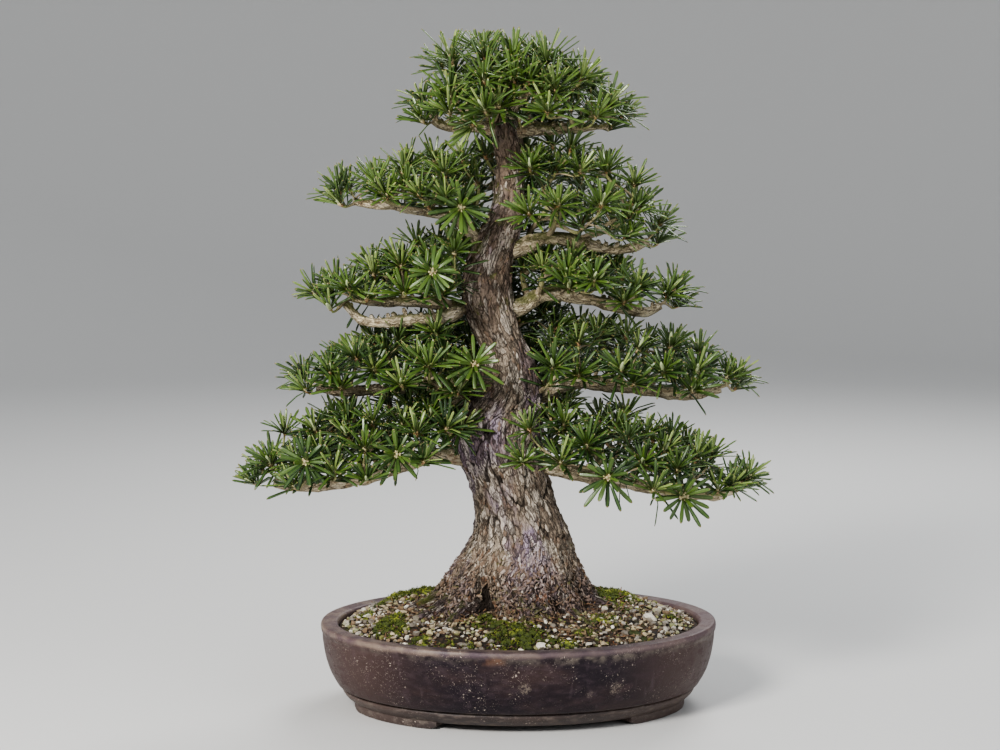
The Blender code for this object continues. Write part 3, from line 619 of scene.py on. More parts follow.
@dataclass(frozen=True)
class ClayFinish(Finish):
    """Unglazed clay: purple-brown, browner to the ends, worn on its edges, where the rim also carries a
    painted highlight, with flecks and lichens.
    """

    name: str = "unglazed_clay"
    # Place of the pot's centre along X and Y
    centre: Pair = (0.0, 0.0)
    dark: Colour = (0.0085, 0.0032, 0.0082)
    brown: Colour = (0.062, 0.034, 0.029)
    # Colour of wear, which on the rim also stands for a painted highlight
    worn: Colour = (0.150, 0.105, 0.122)
    # Colour of the rim's left end, partly wear and partly a painted highlight
    warm_wear_and_highlight: Colour = (0.250, 0.190, 0.145)
    patina: Colour = (0.160, 0.132, 0.110)
    fleck: Colour = (0.46, 0.39, 0.33)
    stain: Colour = (0.19, 0.090, 0.050)
    lichen: Colour = (0.185, 0.150, 0.122)
    rim_from: float = 0.0935
    rim_to: float = 0.0985
    base_top: float = 0.026
    # Lichens as (x, y, z, radius) from the pot's centre
    lichens: tuple[tuple[float, ...], ...] = metres(
        (-2, -169, 58, 8.5), (71, -161, 46, 7.5), (100, -152, 52, 9.5), (87, 153, 60, 10),
        (-120, 143, 45, 8), (214, 20, 55, 8.5))

    def lichen_mask(self, pen: Pen, place: Socket) -> Socket:
        """Crusty rosettes, thickest at their rims.

        Args:
            pen: Draws the nodes.
            place: Places in metres.

        Returns:
            The mask.
        """
        ragged = pen.times(pen.cloud(place, 210.0, 5.0, 0.8), 0.013)
        mask = 0.0
        for x, y, z, radius in self.lichens:
            middle = (x + self.centre[0], y + self.centre[1], z)
            near = pen.add("VectorMath", {0: place, 1: middle}, operation="DISTANCE").outputs["Value"]
            away = pen.plus(near, ragged)
            spot = pen.step(away, radius + 0.0064, radius + 0.0022)
            mask = pen.most(mask, pen.times(spot, pen.step(away, radius * 0.2, radius + 0.004, 0.45, 1.0)))
        return pen.times(mask, pen.step(pen.cloud(place, 620.0, 3.0), 0.42, 0.60))

    def paint(self, pen: Pen, place: Socket) -> Coat:
        """Lay wear with a painted highlight on the rim, patina, stain, lichens and flecks over the clay's own
        colours.

        Args:
            pen: Draws the nodes.
            place: Places in metres.

        Returns:
            The coat.
        """
        x, _, height = pen.parts(place)
        along = pen.less(x, self.centre[0])
        level = pen.tall(place, 2.4)
        ends = pen.step(pen.math("ABSOLUTE", along), 0.085, 0.200)
        broad = pen.laid(Effect.BLOTCHES, level, 9.0, 0.44, 0.68)
        small = pen.laid(Effect.BLOTCHES, level, 75.0, 0.44, 0.70)
        drips = pen.cloud(pen.tall(place, 0.16), 90.0, 4.0, 0.6)
        body = pen.mix(pen.most(pen.times(broad, 0.5), pen.times(ends, 0.95)), self.dark, self.brown)
        body = pen.mix(small, body, self.worn, 0.15)
        body = pen.mix(pen.step(drips, 0.56, 0.74), body, self.worn, 0.22)
        edge = pen.plus(height, pen.times(pen.cloud(place, 70.0, 5.0, 0.7), 0.006))
        # The rim is lighter all round: partly wear, partly a painted highlight along the lip
        rim = pen.times(pen.step(edge, self.rim_from, self.rim_to),
                        pen.step(edge, self.rim_to + 0.0045, self.rim_to + 0.0005, 0.45, 1.0))
        body = pen.mix(rim, body, self.worn, 0.50)
        # Warm lightening on the rim, strongest at the left end: partly wear, partly a painted highlight
        lipped_wear_and_highlight = pen.times(rim, pen.laid(Effect.BLOTCHES, place, 30.0, 0.38, 0.60))
        body = pen.mix(pen.times(lipped_wear_and_highlight, pen.step(along, 0.06, -0.08, 0.35, 1.0)), body, self.warm_wear_and_highlight, 0.75)
        foot = pen.step(edge, self.base_top + 0.0045, self.base_top)
        body = pen.mix(pen.times(foot, pen.step(small, 0.0, 1.0, 0.25, 0.70)), body, self.patina)
        under_lip = pen.times(pen.step(edge, 0.0845, 0.0935), pen.step(edge, 0.0975, 0.0935))
        scuffed = pen.laid(Effect.BLOTCHES, place, 74.0, 0.40, 0.66)
        scuffed = pen.times(under_lip, scuffed, pen.step(along, -0.04, 0.06, 0.35, 0.85))
        body = pen.mix(scuffed, body, self.patina)
        rusty = pen.laid(Effect.BLOTCHES, place, 46.0, 0.36, 0.56)
        rusty = pen.times(under_lip, rusty, pen.step(along, -0.062, -0.048), pen.step(along, -0.018, -0.030))
        body = pen.mix(rusty, body, self.stain, 0.55)
        body = pen.mix(self.lichen_mask(pen, place), body, self.lichen, 0.85)
        crowd = pen.plus(pen.times(pen.laid(Effect.BLOTCHES, place, 24.0, 0.45, 0.60), 0.90), 0.06)
        fine = pen.laid(Effect.FLECKS, place, 760.0, 0.34, 0.20)
        large = pen.laid(Effect.FLECKS, place, 300.0, 0.26, 0.13)
        large = pen.times(large, pen.step(ends, 1.0, 0.2, 0.45, 0.9))
        flecks = pen.times(pen.most(large, pen.times(fine, 0.5)), crowd)
        grit = pen.laid(Effect.GRIT, place, 700.0, 120.0)
        return Coat(pen.mix(flecks, body, self.fleck), pen.step(small, 0.0, 1.0, 0.46, 0.70),
                    pen.plus(grit, pen.times(flecks, 0.6)), 0.0009, 0.6, 0.36)


@dataclass(frozen=True)
class BarkFinish(Finish):
    """Bark in ragged scales over dark fissures.

    Marks are (openness, layer, flaky), with an openness of 1.5 on loose flakes; grain follows the wood. Where
    openness is low, in fissures and clefts, shade is painted.
    """

    pale: Colour = (0.74, 0.66, 0.57)
    cream: Colour = (0.40, 0.335, 0.265)
    lilac: Colour = (0.310, 0.245, 0.320)
    tan: Colour = (0.165, 0.110, 0.075)
    rust: Colour = (0.27, 0.11, 0.045)
    # Colour of the fissures, partly the dark inner bark and partly painted shade
    fissure: Colour = (0.020, 0.014, 0.010)
    moss: Colour = (0.085, 0.100, 0.018)
    moss_amount: float = 0.30
    base_moss: float = 0.07
    top_moss: float = 0.125
    # How much the upper bark is browned
    browned: float = 0.50
    stretch: float = 0.31
    depth: float = 0.0019

    def paint(self, pen: Pen, place: Socket) -> Coat:
        """Lay plates or chips over dark gaps with painted shade in the gaps, cracks and clefts, and moss over
        both.

        Args:
            pen: Draws the nodes.
            place: Places in metres.

        Returns:
            The coat.
        """
        openness, layer, flaky = pen.parts(pen.marks())
        height = pen.parts(place)[2]
        plain = pen.marks(GRAIN)
        grain = pen.tall(plain, self.stretch)
        squat = pen.tall(plain, 0.30)
        loose = pen.step(openness, 1.15, 1.35)
        long_scales = pen.laid(Effect.SCALES, grain, 112.0, 0.065, 0.014)
        flakes = pen.laid(Effect.SCALES, squat, 230.0, 0.14, 0.0075)
        scale = pen.add("Mix", {0: flaky, 2: long_scales, 3: flakes}, data_type="FLOAT").outputs[0]
        cracks = pen.laid(Effect.CRACKS, grain, 110.0, 0.050)
        fine_cracks = pen.laid(Effect.CRACKS, squat, 300.0, 0.050)
        fibre = pen.cloud(grain, 520.0, 5.0, 0.7)
        broad = pen.laid(Effect.BLOTCHES, pen.tall(place, 0.45), 15.0, 0.44, 0.56)
        lilac = pen.times(broad, pen.step(height, 0.46, 0.36, 0.25, 1.0))
        darker = pen.step(pen.plus(scale, pen.times(layer, 0.35)), 0.86, 0.46)
        plates = pen.mix(lilac, self.cream, self.lilac)
        plates = pen.mix(darker, plates, self.tan, 0.50)
        plates = pen.mix(pen.step(height, 0.34, 0.50), plates, self.tan, self.browned)
        plates = pen.mix(flaky, plates, self.tan, 0.50)
        plates = pen.mix(flaky, plates, self.fissure, 0.45)
        plates = pen.mix(pen.step(pen.plus(scale, fibre), 1.18, 1.50), plates, self.pale, 0.60)
        chips = pen.mix(broad, self.cream, self.lilac, 0.6)
        chips = pen.mix(pen.step(layer, 0.95, 0.10), chips, self.tan, 0.92)
        chips = pen.mix(pen.step(layer, 0.80, 1.0), chips, self.pale, 0.55)
        chips = pen.mix(pen.step(height, 0.185, 0.112, 0.05, 0.72), chips, self.tan)
        plates = pen.mix(loose, plates, chips)
        rust = pen.times(pen.laid(Effect.BLOTCHES, place, 55.0, 0.57, 0.64),
                         pen.plus(pen.times(flaky, 0.50), 0.25))
        plates = pen.mix(pen.times(rust, pen.step(scale, 0.9, 0.3)), plates, self.rust)
        # Painted shade: the fissure colour goes into the gaps between scales, the cracks, and wherever the
        # openness mark is low, as in the clefts
        gaps = pen.times(pen.step(scale, 0.30, 0.05), pen.math("MINIMUM", pen.plus(flaky, 0.55), 1.0))
        shade = pen.most(gaps, pen.times(cracks, 0.80), pen.times(fine_cracks, 0.40))
        shade = pen.times(shade, pen.less(1.0, pen.times(loose, 0.6)))
        shade = pen.most(shade, pen.times(pen.step(fibre, 0.45, 0.31), 0.60),
                         pen.step(openness, pen.step(flaky, 0.0, 1.0, 0.40, 0.75), 0.04))
        bark = pen.mix(shade, plates, self.fissure, 0.93)
        low = pen.plus(pen.step(height, 0.165, 0.115, self.moss_amount, self.moss_amount + self.base_moss),
                       pen.step(height, 0.34, 0.52, 0.0, self.top_moss))
        bark = pen.mix(pen.laid(Effect.FILM, place, 46.0, pen.upward(), low), bark, self.moss, 0.80)
        relief = pen.less(pen.plus(scale, pen.times(fibre, 0.9)), pen.times(cracks, 0.9))
        return Coat(bark, pen.step(fibre, 0.3, 0.7, 0.66, 0.92),
                    pen.less(relief, pen.times(fine_cracks, 0.4)), self.depth, 1.0, 0.28)


@dataclass(frozen=True)
class TwigFinish(Finish):
    """Young stems, tan at the limb and yellow-green at the bud. Marks are (along, tone, 0)."""

    name: str = "young_twigs"
    old: Colour = (0.40, 0.325, 0.215)
    young: Colour = (0.30, 0.33, 0.115)
    scar: Colour = (0.10, 0.062, 0.035)

    def paint(self, pen: Pen, place: Socket) -> Coat:
        """Lay dark leaf scars over the stem's colours.

        Args:
            pen: Draws the nodes.
            place: Places in metres.

        Returns:
            The coat.
        """
        stem = pen.mix(pen.step(pen.parts(pen.marks())[0], 0.35, 0.95), self.old, self.young)
        stem = pen.mix(pen.laid(Effect.FLECKS, place, 420.0, 0.42, 0.34), stem, self.scar, 0.7)
        return Coat(stem, 0.68, pen.laid(Effect.GRIT, place, 900.0, 260.0), 0.0006, 0.7)


@dataclass(frozen=True)
class NeedleFinish(Finish):
    """Waxy needles with a paler groove. Marks are (along, tone, groove: 1 above and -1 below)."""

    name: str = "umbrella_pine_needles"
    deep: Colour = (0.017, 0.045, 0.014)
    fresh: Colour = (0.090, 0.154, 0.028)
    pale: Colour = (0.32, 0.40, 0.14)
    band: Colour = (0.165, 0.225, 0.115)
    root: Colour = (0.27, 0.27, 0.09)
    tip: Colour = (0.30, 0.215, 0.095)

    def paint(self, pen: Pen, place: Socket) -> Coat:
        """Lay the groove, the pale band below, the root and the worn tip over the leaf's tone.

        Args:
            pen: Draws the nodes.
            place: Places in metres.

        Returns:
            The coat.
        """
        along, tone, groove = pen.parts(pen.marks())
        leaf = pen.mix(pen.step(tone, 0.0, 1.0), self.deep, self.fresh)
        leaf = pen.mix(pen.step(tone, 1.0, 2.0), leaf, self.pale)
        blotched = pen.laid(Effect.BLOTCHES, place, 130.0, 0.42, 0.68)
        leaf = pen.mix(blotched, leaf, self.fresh, 0.22)
        leaf = pen.mix(pen.step(groove, 0.45, 1.0), leaf, self.fresh, 0.50)
        leaf = pen.mix(pen.step(groove, -0.2, -0.9), leaf, self.band, 0.62)
        leaf = pen.mix(pen.step(along, 0.20, 0.0), leaf, self.root, 0.72)
        leaf = pen.mix(pen.step(along, 0.945, 1.0), leaf, self.tip, 0.80)
        leaf = pen.mix(pen.laid(Effect.FLECKS, place, 520.0, 0.24, 0.07), leaf, self.tip, 0.45)
        return Coat(leaf, pen.step(blotched, 0.0, 1.0, 0.30, 0.42),
                    pen.laid(Effect.GRIT, place, 1400.0, 380.0), 0.00018, 0.6, 0.55)


@dataclass(frozen=True)
class BudFinish(Finish):
    """Bud scales, brown at the foot and green at the point. Marks are (along, tone, 1 on a pale sprout)."""

    name: str = "bud_scales"
    foot: Colour = (0.36, 0.21, 0.10)
    point: Colour = (0.52, 0.48, 0.27)
    edge: Colour = (0.62, 0.48, 0.36)
    sprout: Colour = (0.47, 0.55, 0.31)

    def paint(self, pen: Pen, place: Socket) -> Coat:
        """Lay pale scale edges over the bud, and the sprouts' green over both.

        Args:
            pen: Draws the nodes.
            place: Places in metres.

        Returns:
            The coat.
        """
        along, tone, sprout = pen.parts(pen.marks())
        bud = pen.mix(pen.step(pen.plus(along, pen.times(tone, 0.5)), 0.45, 1.05), self.foot, self.point)
        scales = pen.laid(Effect.FLECKS, place, 620.0, 0.50, 0.5)
        bud = pen.mix(scales, bud, self.edge, 0.45)
        bud = pen.mix(pen.times(sprout, pen.step(along, -0.2, 0.7, 0.4, 1.0)), bud, self.sprout)
        return Coat(bud, 0.55, scales, 0.0003, 0.8)


@dataclass(frozen=True)
class StoneFinish(Finish):
    """Loose stones or crumbs of one kind. Marks are (tone, wet, 0)."""

    body: Colour
    vein: Colour
    dust_and_underside: Colour = (0.115, 0.082, 0.050)
    algae: Colour = (0.17, 0.20, 0.035)

    def paint(self, pen: Pen, place: Socket) -> Coat:
        """Lay a brown at random and on the faces that look down, and algae, over the veined stone.

        Args:
            pen: Draws the nodes.
            place: Places in metres.

        Returns:
            The coat.
        """
        tone, wet, _ = pen.parts(pen.marks())
        veins = pen.laid(Effect.BLOTCHES, place, 220.0, 0.42, 0.66)
        stone = pen.mix(veins, self.body, self.vein)
        stone = pen.mix(tone, stone, self.dust_and_underside, 0.55)
        # Faces that look down are darkened with the same brown
        stone = pen.mix(pen.step(pen.upward(), 0.35, -0.35), stone, self.dust_and_underside, 0.75)
        green = pen.times(pen.step(wet, 0.72, 0.95), pen.step(veins, 0.9, 0.1))
        return Coat(pen.mix(green, stone, self.algae, 0.7), pen.step(veins, 0.0, 1.0, 0.62, 0.85),
                    pen.laid(Effect.GRIT, place, 1300.0, 320.0), 0.0009, 0.8)


@dataclass(frozen=True)
class EarthFinish(Finish):
    """Dark humus with reddish crumbs of dead needles."""

    name: str = "humus"
    wet: Colour = (0.011, 0.007, 0.005)
    dry: Colour = (0.060, 0.036, 0.020)
    red: Colour = (0.20, 0.075, 0.030)
    moss: Colour = (0.055, 0.085, 0.012)

    def paint(self, pen: Pen, place: Socket) -> Coat:
        """Lay crumbs and a film of moss over the clods.

        Args:
            pen: Draws the nodes.
            place: Places in metres.

        Returns:
            The coat.
        """
        clods = pen.laid(Effect.BLOTCHES, place, 170.0, 0.40, 0.66)
        earth = pen.mix(clods, self.wet, self.dry)
        earth = pen.mix(pen.laid(Effect.FLECKS, place, 380.0, 0.40, 0.22), earth, self.red, 0.8)
        earth = pen.mix(pen.laid(Effect.FILM, place, 24.0, 1.0, 0.25), earth, self.moss, 0.6)
        return Coat(earth, pen.step(clods, 0.0, 1.0, 0.80, 0.97), pen.laid(Effect.GRIT, place, 900.0, 240.0),
                    0.0025)


@dataclass(frozen=True)
class MossFinish(Finish):
    """Moss, deep green below and yellow-green at its points. Marks are (along, tone, 0)."""

    name: str = "moss"
    deep: Colour = (0.016, 0.022, 0.006)
    green: Colour = (0.110, 0.145, 0.017)
    gold: Colour = (0.43, 0.47, 0.065)

    def paint(self, pen: Pen, place: Socket) -> Coat:
        """Lighten the points, most in sunny patches.

        Args:
            pen: Draws the nodes.
            place: Places in metres.

        Returns:
            The coat.
        """
        along, tone, _ = pen.parts(pen.marks())
        leaf = pen.mix(pen.step(along, 0.0, 0.7), self.deep, self.green)
        sunny = pen.plus(along, pen.laid(Effect.BLOTCHES, place, 62.0, 0.42, 0.62))
        shine = pen.times(pen.step(sunny, 0.76, 1.56), pen.step(tone, 0.15, 0.85))
        return Coat(pen.mix(shine, leaf, self.gold, 0.90), 0.8, pen.laid(Effect.GRIT, place, 1500.0, 520.0),
                    0.0012)


@dataclass(frozen=True)
class ScreenFinish(Finish):
    """Dull black plastic of the drain screens, with lime on it."""

    name: str = "drain_screen_plastic"
    body: Colour = (0.022, 0.022, 0.023)
    lime: Colour = (0.17, 0.16, 0.14)

    def paint(self, pen: Pen, place: Socket) -> Coat:
        """Lay lime over the plastic.

        Args:
            pen: Draws the nodes.
            place: Places in metres.

        Returns:
            The coat.
        """
        dusty = pen.laid(Effect.BLOTCHES, place, 120.0, 0.50, 0.72)
        return Coat(pen.mix(dusty, self.body, self.lime, 0.6), pen.step(dusty, 0.0, 1.0, 0.45, 0.8),
                    pen.laid(Effect.GRIT, place, 1200.0, 300.0), 0.0002, 0.5)


@dataclass(frozen=True)
class FloorFinish(Finish):
    """The pale plain studio floor."""

    name: str = "studio_floor"
    body: Colour = (0.62, 0.62, 0.61)

    def paint(self, pen: Pen, place: Socket) -> Coat:
        """One plain colour."""
        return Coat(self.body, 0.9)


# Pot


@dataclass(frozen=True)
class Oval:
    """The outline of the pot's rim, seen from above."""

    half_length: float = 0.230
    half_depth: float = 0.1745

    def at(self, turn: float, height: float, inset: float, share: float = 1.0) -> Point:
        """Point at a bearing and height, taken in by an inset and then by a share."""
        return ((self.half_length - inset) * share * math.cos(turn),
                (self.half_depth - inset) * share * math.sin(turn), height)

    def reach(self, x: float, y: float, inset: float) -> float:
        """Share of the way from the middle to the outline, taken in by an inset."""
        return math.hypot(x / (self.half_length - inset), y / (self.half_depth - inset))

    def spots(self, draw: random.Random, count: int) -> Iterator[Pair]:
        """Random places in the rectangle round the outline.

        Args:
            draw: Random draw.
            count: Number of places.

        Yields:
            Places along X and Y.
        """
        for _ in range(count):
            x = draw.uniform(-self.half_length, self.half_length)
            yield x, draw.uniform(-self.half_depth, self.half_depth)


def turns(count: int) -> list[float]:
    """Bearings evenly spaced round the circle."""
    return [math.tau * i / count for i in range(count)]


@dataclass
class Pot:
    """The oval clay pot with its lip, base mouldings, four feet and two drain holes."""

    rim: Oval = Oval()
    sides: int = 216
    # Corners of the wall as (distance in from the rim's outline, height, rounding)
    outside: tuple[Point, ...] = metres(
        (48, 8, 1), (35.2, 8.2, 1), (33, 10.2, 1.2), (27.6, 14.6, 4), (24.3, 19.6, 3), (25, 22.2, 1),
        (26.8, 23.2, 0.5), (24, 24.2, 0.6), (20, 25.8, 1.8), (10.8, 41, 11), (5.2, 59, 10), (2.4, 77, 6),
        (1.8, 87.5, 2), (0.6, 90, 2), (0, 95, 1.6), (1.4, 98.4, 1), (4, 99, 1.6))
    inside: tuple[Point, ...] = metres((18, 98.4, 1.2), (20, 96.2, 1.2), (23, 70, 10), (34, 38, 8),
                                       (56, 18, 4))
    row_step: float = 0.0042
    wobble: float = 0.0004
    foot_from: float = math.radians(14)
    # Bearing at which each quarter's foot ends, from the pot's length towards its depth
    foot_ends: tuple[float, ...] = (math.radians(56), math.radians(56), math.radians(60), math.radians(52))
    foot_steps: int = 22
    foot_outer: float = 0.0340
    foot_inner: float = 0.0640
    foot_top: float = 0.0125
    foot_round: float = 0.0016
    drain_radius: float = 0.015
    drain_offset: float = 0.085

    def profile(self) -> list[Pair]:
        """The wall's corners, rounded, with points no further apart than the row step.

        Returns:
            Rows of (distance in from the rim's outline, height).
        """
        knots = [(Vector((inset, height)), rounding)
                 for inset, height, rounding in self.outside + self.inside]
        soft = [knots[0][0]]
        for (before, _), (corner, rounding), (after, _) in zip(knots, knots[1:], knots[2:]):
            first, last = (corner + (end - corner) * min(rounding / (end - corner).length, 0.48)
                           for end in (before, after))
            for t in (0.0, 0.25, 0.5, 0.75, 1.0):
                soft.append(first * (1 - t) ** 2 + corner * 2 * t * (1 - t) + last * t * t)
        soft.append(knots[-1][0])
        even = [soft[0]]
        for a, b in zip(soft, soft[1:]):
            count = max(1, math.ceil((b - a).length / self.row_step))
            even.extend(a.lerp(b, i / count) for i in range(1, count + 1))
        return [(p.x, p.y) for p in even]

    def ring(self, inset: float, height: float) -> list[Point]:
        """The pot's outline at one height, with the slight unevenness of pressed clay.

        Args:
            inset: Distance in from the rim's outline.
            height: Height above the standing surface.

        Returns:
            Points round the pot.
        """
        points = []
        for turn in turns(self.sides):
            c, s = math.cos(turn), math.sin(turn)
            uneven = noise.noise(Vector((c * 2.3, s * 2.3, height * 26.0))) * self.wobble
            uneven += noise.noise(Vector((c * 9.0, s * 9.0, height * 90.0))) * self.wobble * 0.5
            points.append(self.rim.at(turn, height, inset + abs(uneven)))
        return points

    def foot(self, quarter: int) -> tuple[list[Point], list[Face]]:
        """A foot that follows the base, with slanted and rounded ends.

        Args:
            quarter: Number of the quarter that the foot is in.

        Returns:
            Points and faces.
        """
        points = []
        outer, inner, top, edge = self.foot_outer, self.foot_inner, self.foot_top, self.foot_round
        for i in range(self.foot_steps + 1):
            share = i / self.foot_steps
            turn = self.foot_from + (self.foot_ends[quarter] - self.foot_from) * share
            turn = math.pi / 2 - turn if quarter % 2 else self.foot_from + self.foot_ends[quarter] - turn
            lift = edge * 2.0 * (1 - smooth(min(share, 1 - share), 0.0, 0.07))
            for inset, height in ((outer, top), (outer, edge + lift),
                                  (outer + edge * 0.4, lift + edge * 0.3),
                                  (outer + edge, lift), (inner - edge, lift), (inner, edge + lift),
                                  (inner, top)):
                points.append(self.rim.at(turn + quarter * math.pi / 2, height, inset))
        return points, tube_faces(self.foot_steps + 1, 7)

    def cut_drains(self, pot: bpy.types.Object) -> None:
        """Cut the two drain holes through the pot's floor.

        Args:
            pot: The pot.
        """
        drains = Heap()
        for side in (-1, 1):
            middle = Vector((side * self.drain_offset, 0.0, -0.005))
            drains.add(*tube([middle, middle + UP * 0.035], [self.drain_radius] * 2, 48)[:2])
        cutter = drains.make("drain_cutter", [])
        step = pot.modifiers.new("drains", "BOOLEAN")
        step.operation = "DIFFERENCE"
        step.object = cutter
        step.solver = "EXACT"
        bpy.context.view_layer.update()
        result = bpy.data.meshes.new_from_object(pot.evaluated_get(bpy.context.evaluated_depsgraph_get()))
        pot.modifiers.clear()
        pot.data = result
        bpy.data.objects.remove(cutter, do_unlink=True)

    def build(self) -> bpy.types.Object:
        """Build the pot and let it stand for its node.

        Returns:
            The pot.
        """
        heap = Heap()
        rows = self.profile()
        points = [point for inset, height in rows for point in self.ring(inset, height)]
        heap.add(points, tube_faces(len(rows), self.sides))
        for quarter in range(4):
            heap.add(*self.foot(quarter))
        pot = heap.make("clay_pot", [ClayFinish(centre=(heap.shift.x, heap.shift.y))], Slot.CLAY, "pot",
                        50.0)
        self.cut_drains(pot)
        return pot


# Soil and what lies on it


class PebbleKind(Enum):
    """Kinds of pebble, as (name, share of all pebbles, colour, colour of the veins)."""

    CREAM = ("cream", 0.31, (0.54, 0.46, 0.31), (0.36, 0.285, 0.175))
    GREY = ("grey", 0.32, (0.25, 0.230, 0.200), (0.12, 0.105, 0.087))
    TAN = ("tan", 0.12, (0.27, 0.18, 0.10), (0.15, 0.10, 0.06))
    WHITE = ("white", 0.25, (0.76, 0.72, 0.63), (0.50, 0.46, 0.38))


@dataclass
class SoilBed:
    """The mounded humus that fills the pot, with gravel, moss and litter on it."""

    trunk: Trunk
    rim: Oval = Oval()
    # The pot's inner wall as (distance in from the rim's outline, height)
    wall: tuple[Pair, ...] = metres((56.6, 18.6), (34.6, 38.6), (23.6, 70.6), (20.8, 88))
    edge_z: float = 0.0915
    rise: float = 0.032
    sides: int = 168
    rings: int = 52
    clod: float = 0.0022
    heap_rise: float = 0.0028
    moss_rise: float = 0.0050
    # Large white pebbles as (x, y, size), and the others as (least size, greatest size, tries)
    large_pebbles: tuple[Point, ...] = ((0.148, -0.044, 0.0085), (0.017, -0.138, 0.0066))
    pebbles: tuple[tuple[float, float, int], ...] = (
        (0.0032, 0.0047, 1900), (0.0020, 0.0032, 10000), (0.0012, 0.0020, 13000))
    pebble_spacing: float = 0.80
    # Least and greatest share of a pebble's size along each axis
    pebble_squash: tuple[Pair, ...] = ((0.80, 1.40), (0.70, 1.0), (0.55, 0.95))
    small_pebble: float = 0.0017
    moss_tries: int = 19000
    litter_tries: int = 6400
    blade_width: float = 0.0011
    # Moss patches as (x, y, half length, half depth) in millimetres and their growth in thousandths
    moss_patches: tuple[tuple[float, ...], ...] = metres(
        (-130, 60, 44, 40, 1000), (-147, -56, 24, 34, 1000), (-10, -122, 34, 32, 1000),
        (112, 20, 36, 48, 900), (-116, -110, 14, 12, 900), (-88, -128, 11, 10, 900), (-62, -134, 9, 8, 800),
        (-34, -92, 26, 12, 800), (40, -132, 30, 10, 700), (96, -66, 22, 16, 600), (30, 118, 60, 20, 900),
        (-178, 10, 14, 18, 700), (180, -12, 16, 16, 500), (-42, -78, 10, 12, 1000), (70, -108, 14, 8, 700))
    # Mossy mounds as (x, y, half length, half depth, rise), and bare humus without a rise, where the patch at
    # (105, -30) on the right is painted shade
    mounds: tuple[tuple[float, ...], ...] = metres(
        (-118, 56, 60, 50, 10), (104, 34, 56, 56, 9), (-147, -56, 28, 34, 3), (-10, -118, 40, 30, 3))
    bare_and_shaded_patches: tuple[tuple[float, ...], ...] = metres(
        (66, -96, 62, 30), (-70, -40, 46, 30), (105, -30, 40, 50), (30, -126, 30, 14), (-60, 90, 60, 30))

    def reach(self, x: float, y: float) -> float:
        """Share of the way from the middle to the pot's inner wall."""
        return self.rim.reach(x, y, self.wall[-1][0])

    def height(self, x: float, y: float) -> float:
        """Height of the mound, without clods."""
        return self.edge_z + self.rise * max(0.0, 1.0 - self.reach(x, y) ** 2)

    def surface(self, x: float, y: float) -> float:
        """Height of the mound with its clods.

        Args:
            x: Place along the pot's length.
            y: Place along its depth.

        Returns:
            Height above the standing surface.
        """
        reach = self.reach(x, y)
        rough = noise.fractal(Vector((x, y, 0.3)) * 95.0, 0.7, 2.1, 4)
        heaped = noise.noise(Vector((x, y, 2.9)) * 42.0) * (1.0 - smooth(reach, 0.86, 1.0))
        swell = sum(rise * math.exp(-((x - px) / half_x) ** 2 - ((y - py) / half_y) ** 2)
                    for px, py, half_x, half_y, rise in self.mounds) * (1.0 - smooth(reach, 0.75, 1.0))
        return self.height(x, y) + rough * self.clod * 0.6 + heaped * self.heap_rise + swell

    def bare(self, x: float, y: float) -> float:
        """How bare of pebbles a place is, from 0 to 1; the bare patch on the right stands for painted shade.
        """
        near = min(math.hypot((x - px) / half_x, (y - py) / half_y)
                   for px, py, half_x, half_y in self.bare_and_shaded_patches)
        return 1.0 - smooth(near + noise.noise(Vector((x, y, 4.2)) * 60.0) * 0.45, 0.55, 1.25)

    def mossy(self, x: float, y: float) -> float:
        """How much moss grows at a place, from 0 to 1.

        Args:
            x: Place along the pot's length.
            y: Place along its depth.

        Returns:
            The growth.
        """
        uneven = noise.noise(Vector((x, y, 1.7)) * 75.0) * 0.30
        return max(growth
                   * (1.0 - smooth(math.hypot((x - px) / half_x, (y - py) / half_y) + uneven, 0.55, 1.15))
                   for px, py, half_x, half_y, growth in self.moss_patches)

    def build_earth(self) -> bpy.types.Object:
        """Build the humus body.

        Returns:
            The humus.
        """
        round_pot = turns(self.sides)
        points = [self.rim.at(turn, height, inset) for inset, height in self.wall for turn in round_pot]
        for level in range(self.rings):
            for turn in round_pot:
                x, y, _ = self.rim.at(turn, 0.0, self.wall[-1][0], 1.0 - level / self.rings)
                points.append((x, y, self.surface(x, y)))
        heap = Heap()
        heap.add(points, tube_faces(self.rings + len(self.wall), self.sides))
        return heap.make("humus", [EarthFinish()], Slot.SOIL, "soil")

    def lay_pebbles(self, draw: random.Random) -> Iterator[tuple[float, float, float, bool]]:
        """Find places for pebbles, large ones first, where they don't run into each other.

        Args:
            draw: Random draw of the pebbles.

        Yields:
            Place along X and Y, size, and whether the pebble is one of the two large white ones.
        """
        laid = list(self.large_pebbles)
        yield from ((*spot, True) for spot in self.large_pebbles)
        for size_low, size_high, tries in self.pebbles:
            for x, y in self.rim.spots(draw, tries):
                size = draw.uniform(size_low, size_high)
                # Moss and bare patches keep pebbles off; the bare patch on the right leaves dark humus as
                # painted shade
                bare = max(self.mossy(x, y), self.bare(x, y) * 0.78)
                near = self.trunk.clearance(x, y)
                if self.reach(x, y) > 0.985 - size / self.rim.half_depth or near < size * 0.4:
                    continue
                if draw.random() < bare * 0.97 or draw.random() < smooth(near, 0.040, 0.006) * 0.70:
                    continue
                others = np.array(laid)
                apart = np.hypot(others[:, 0] - x, others[:, 1] - y)
                clear = (apart - (others[:, 2] + size) * self.pebble_spacing).min() >= 0.0
                if clear and noise.noise(Vector((x, y, 6.1)) * 95.0) <= 0.24:
                    laid.append((x, y, size))
                    yield x, y, size, False

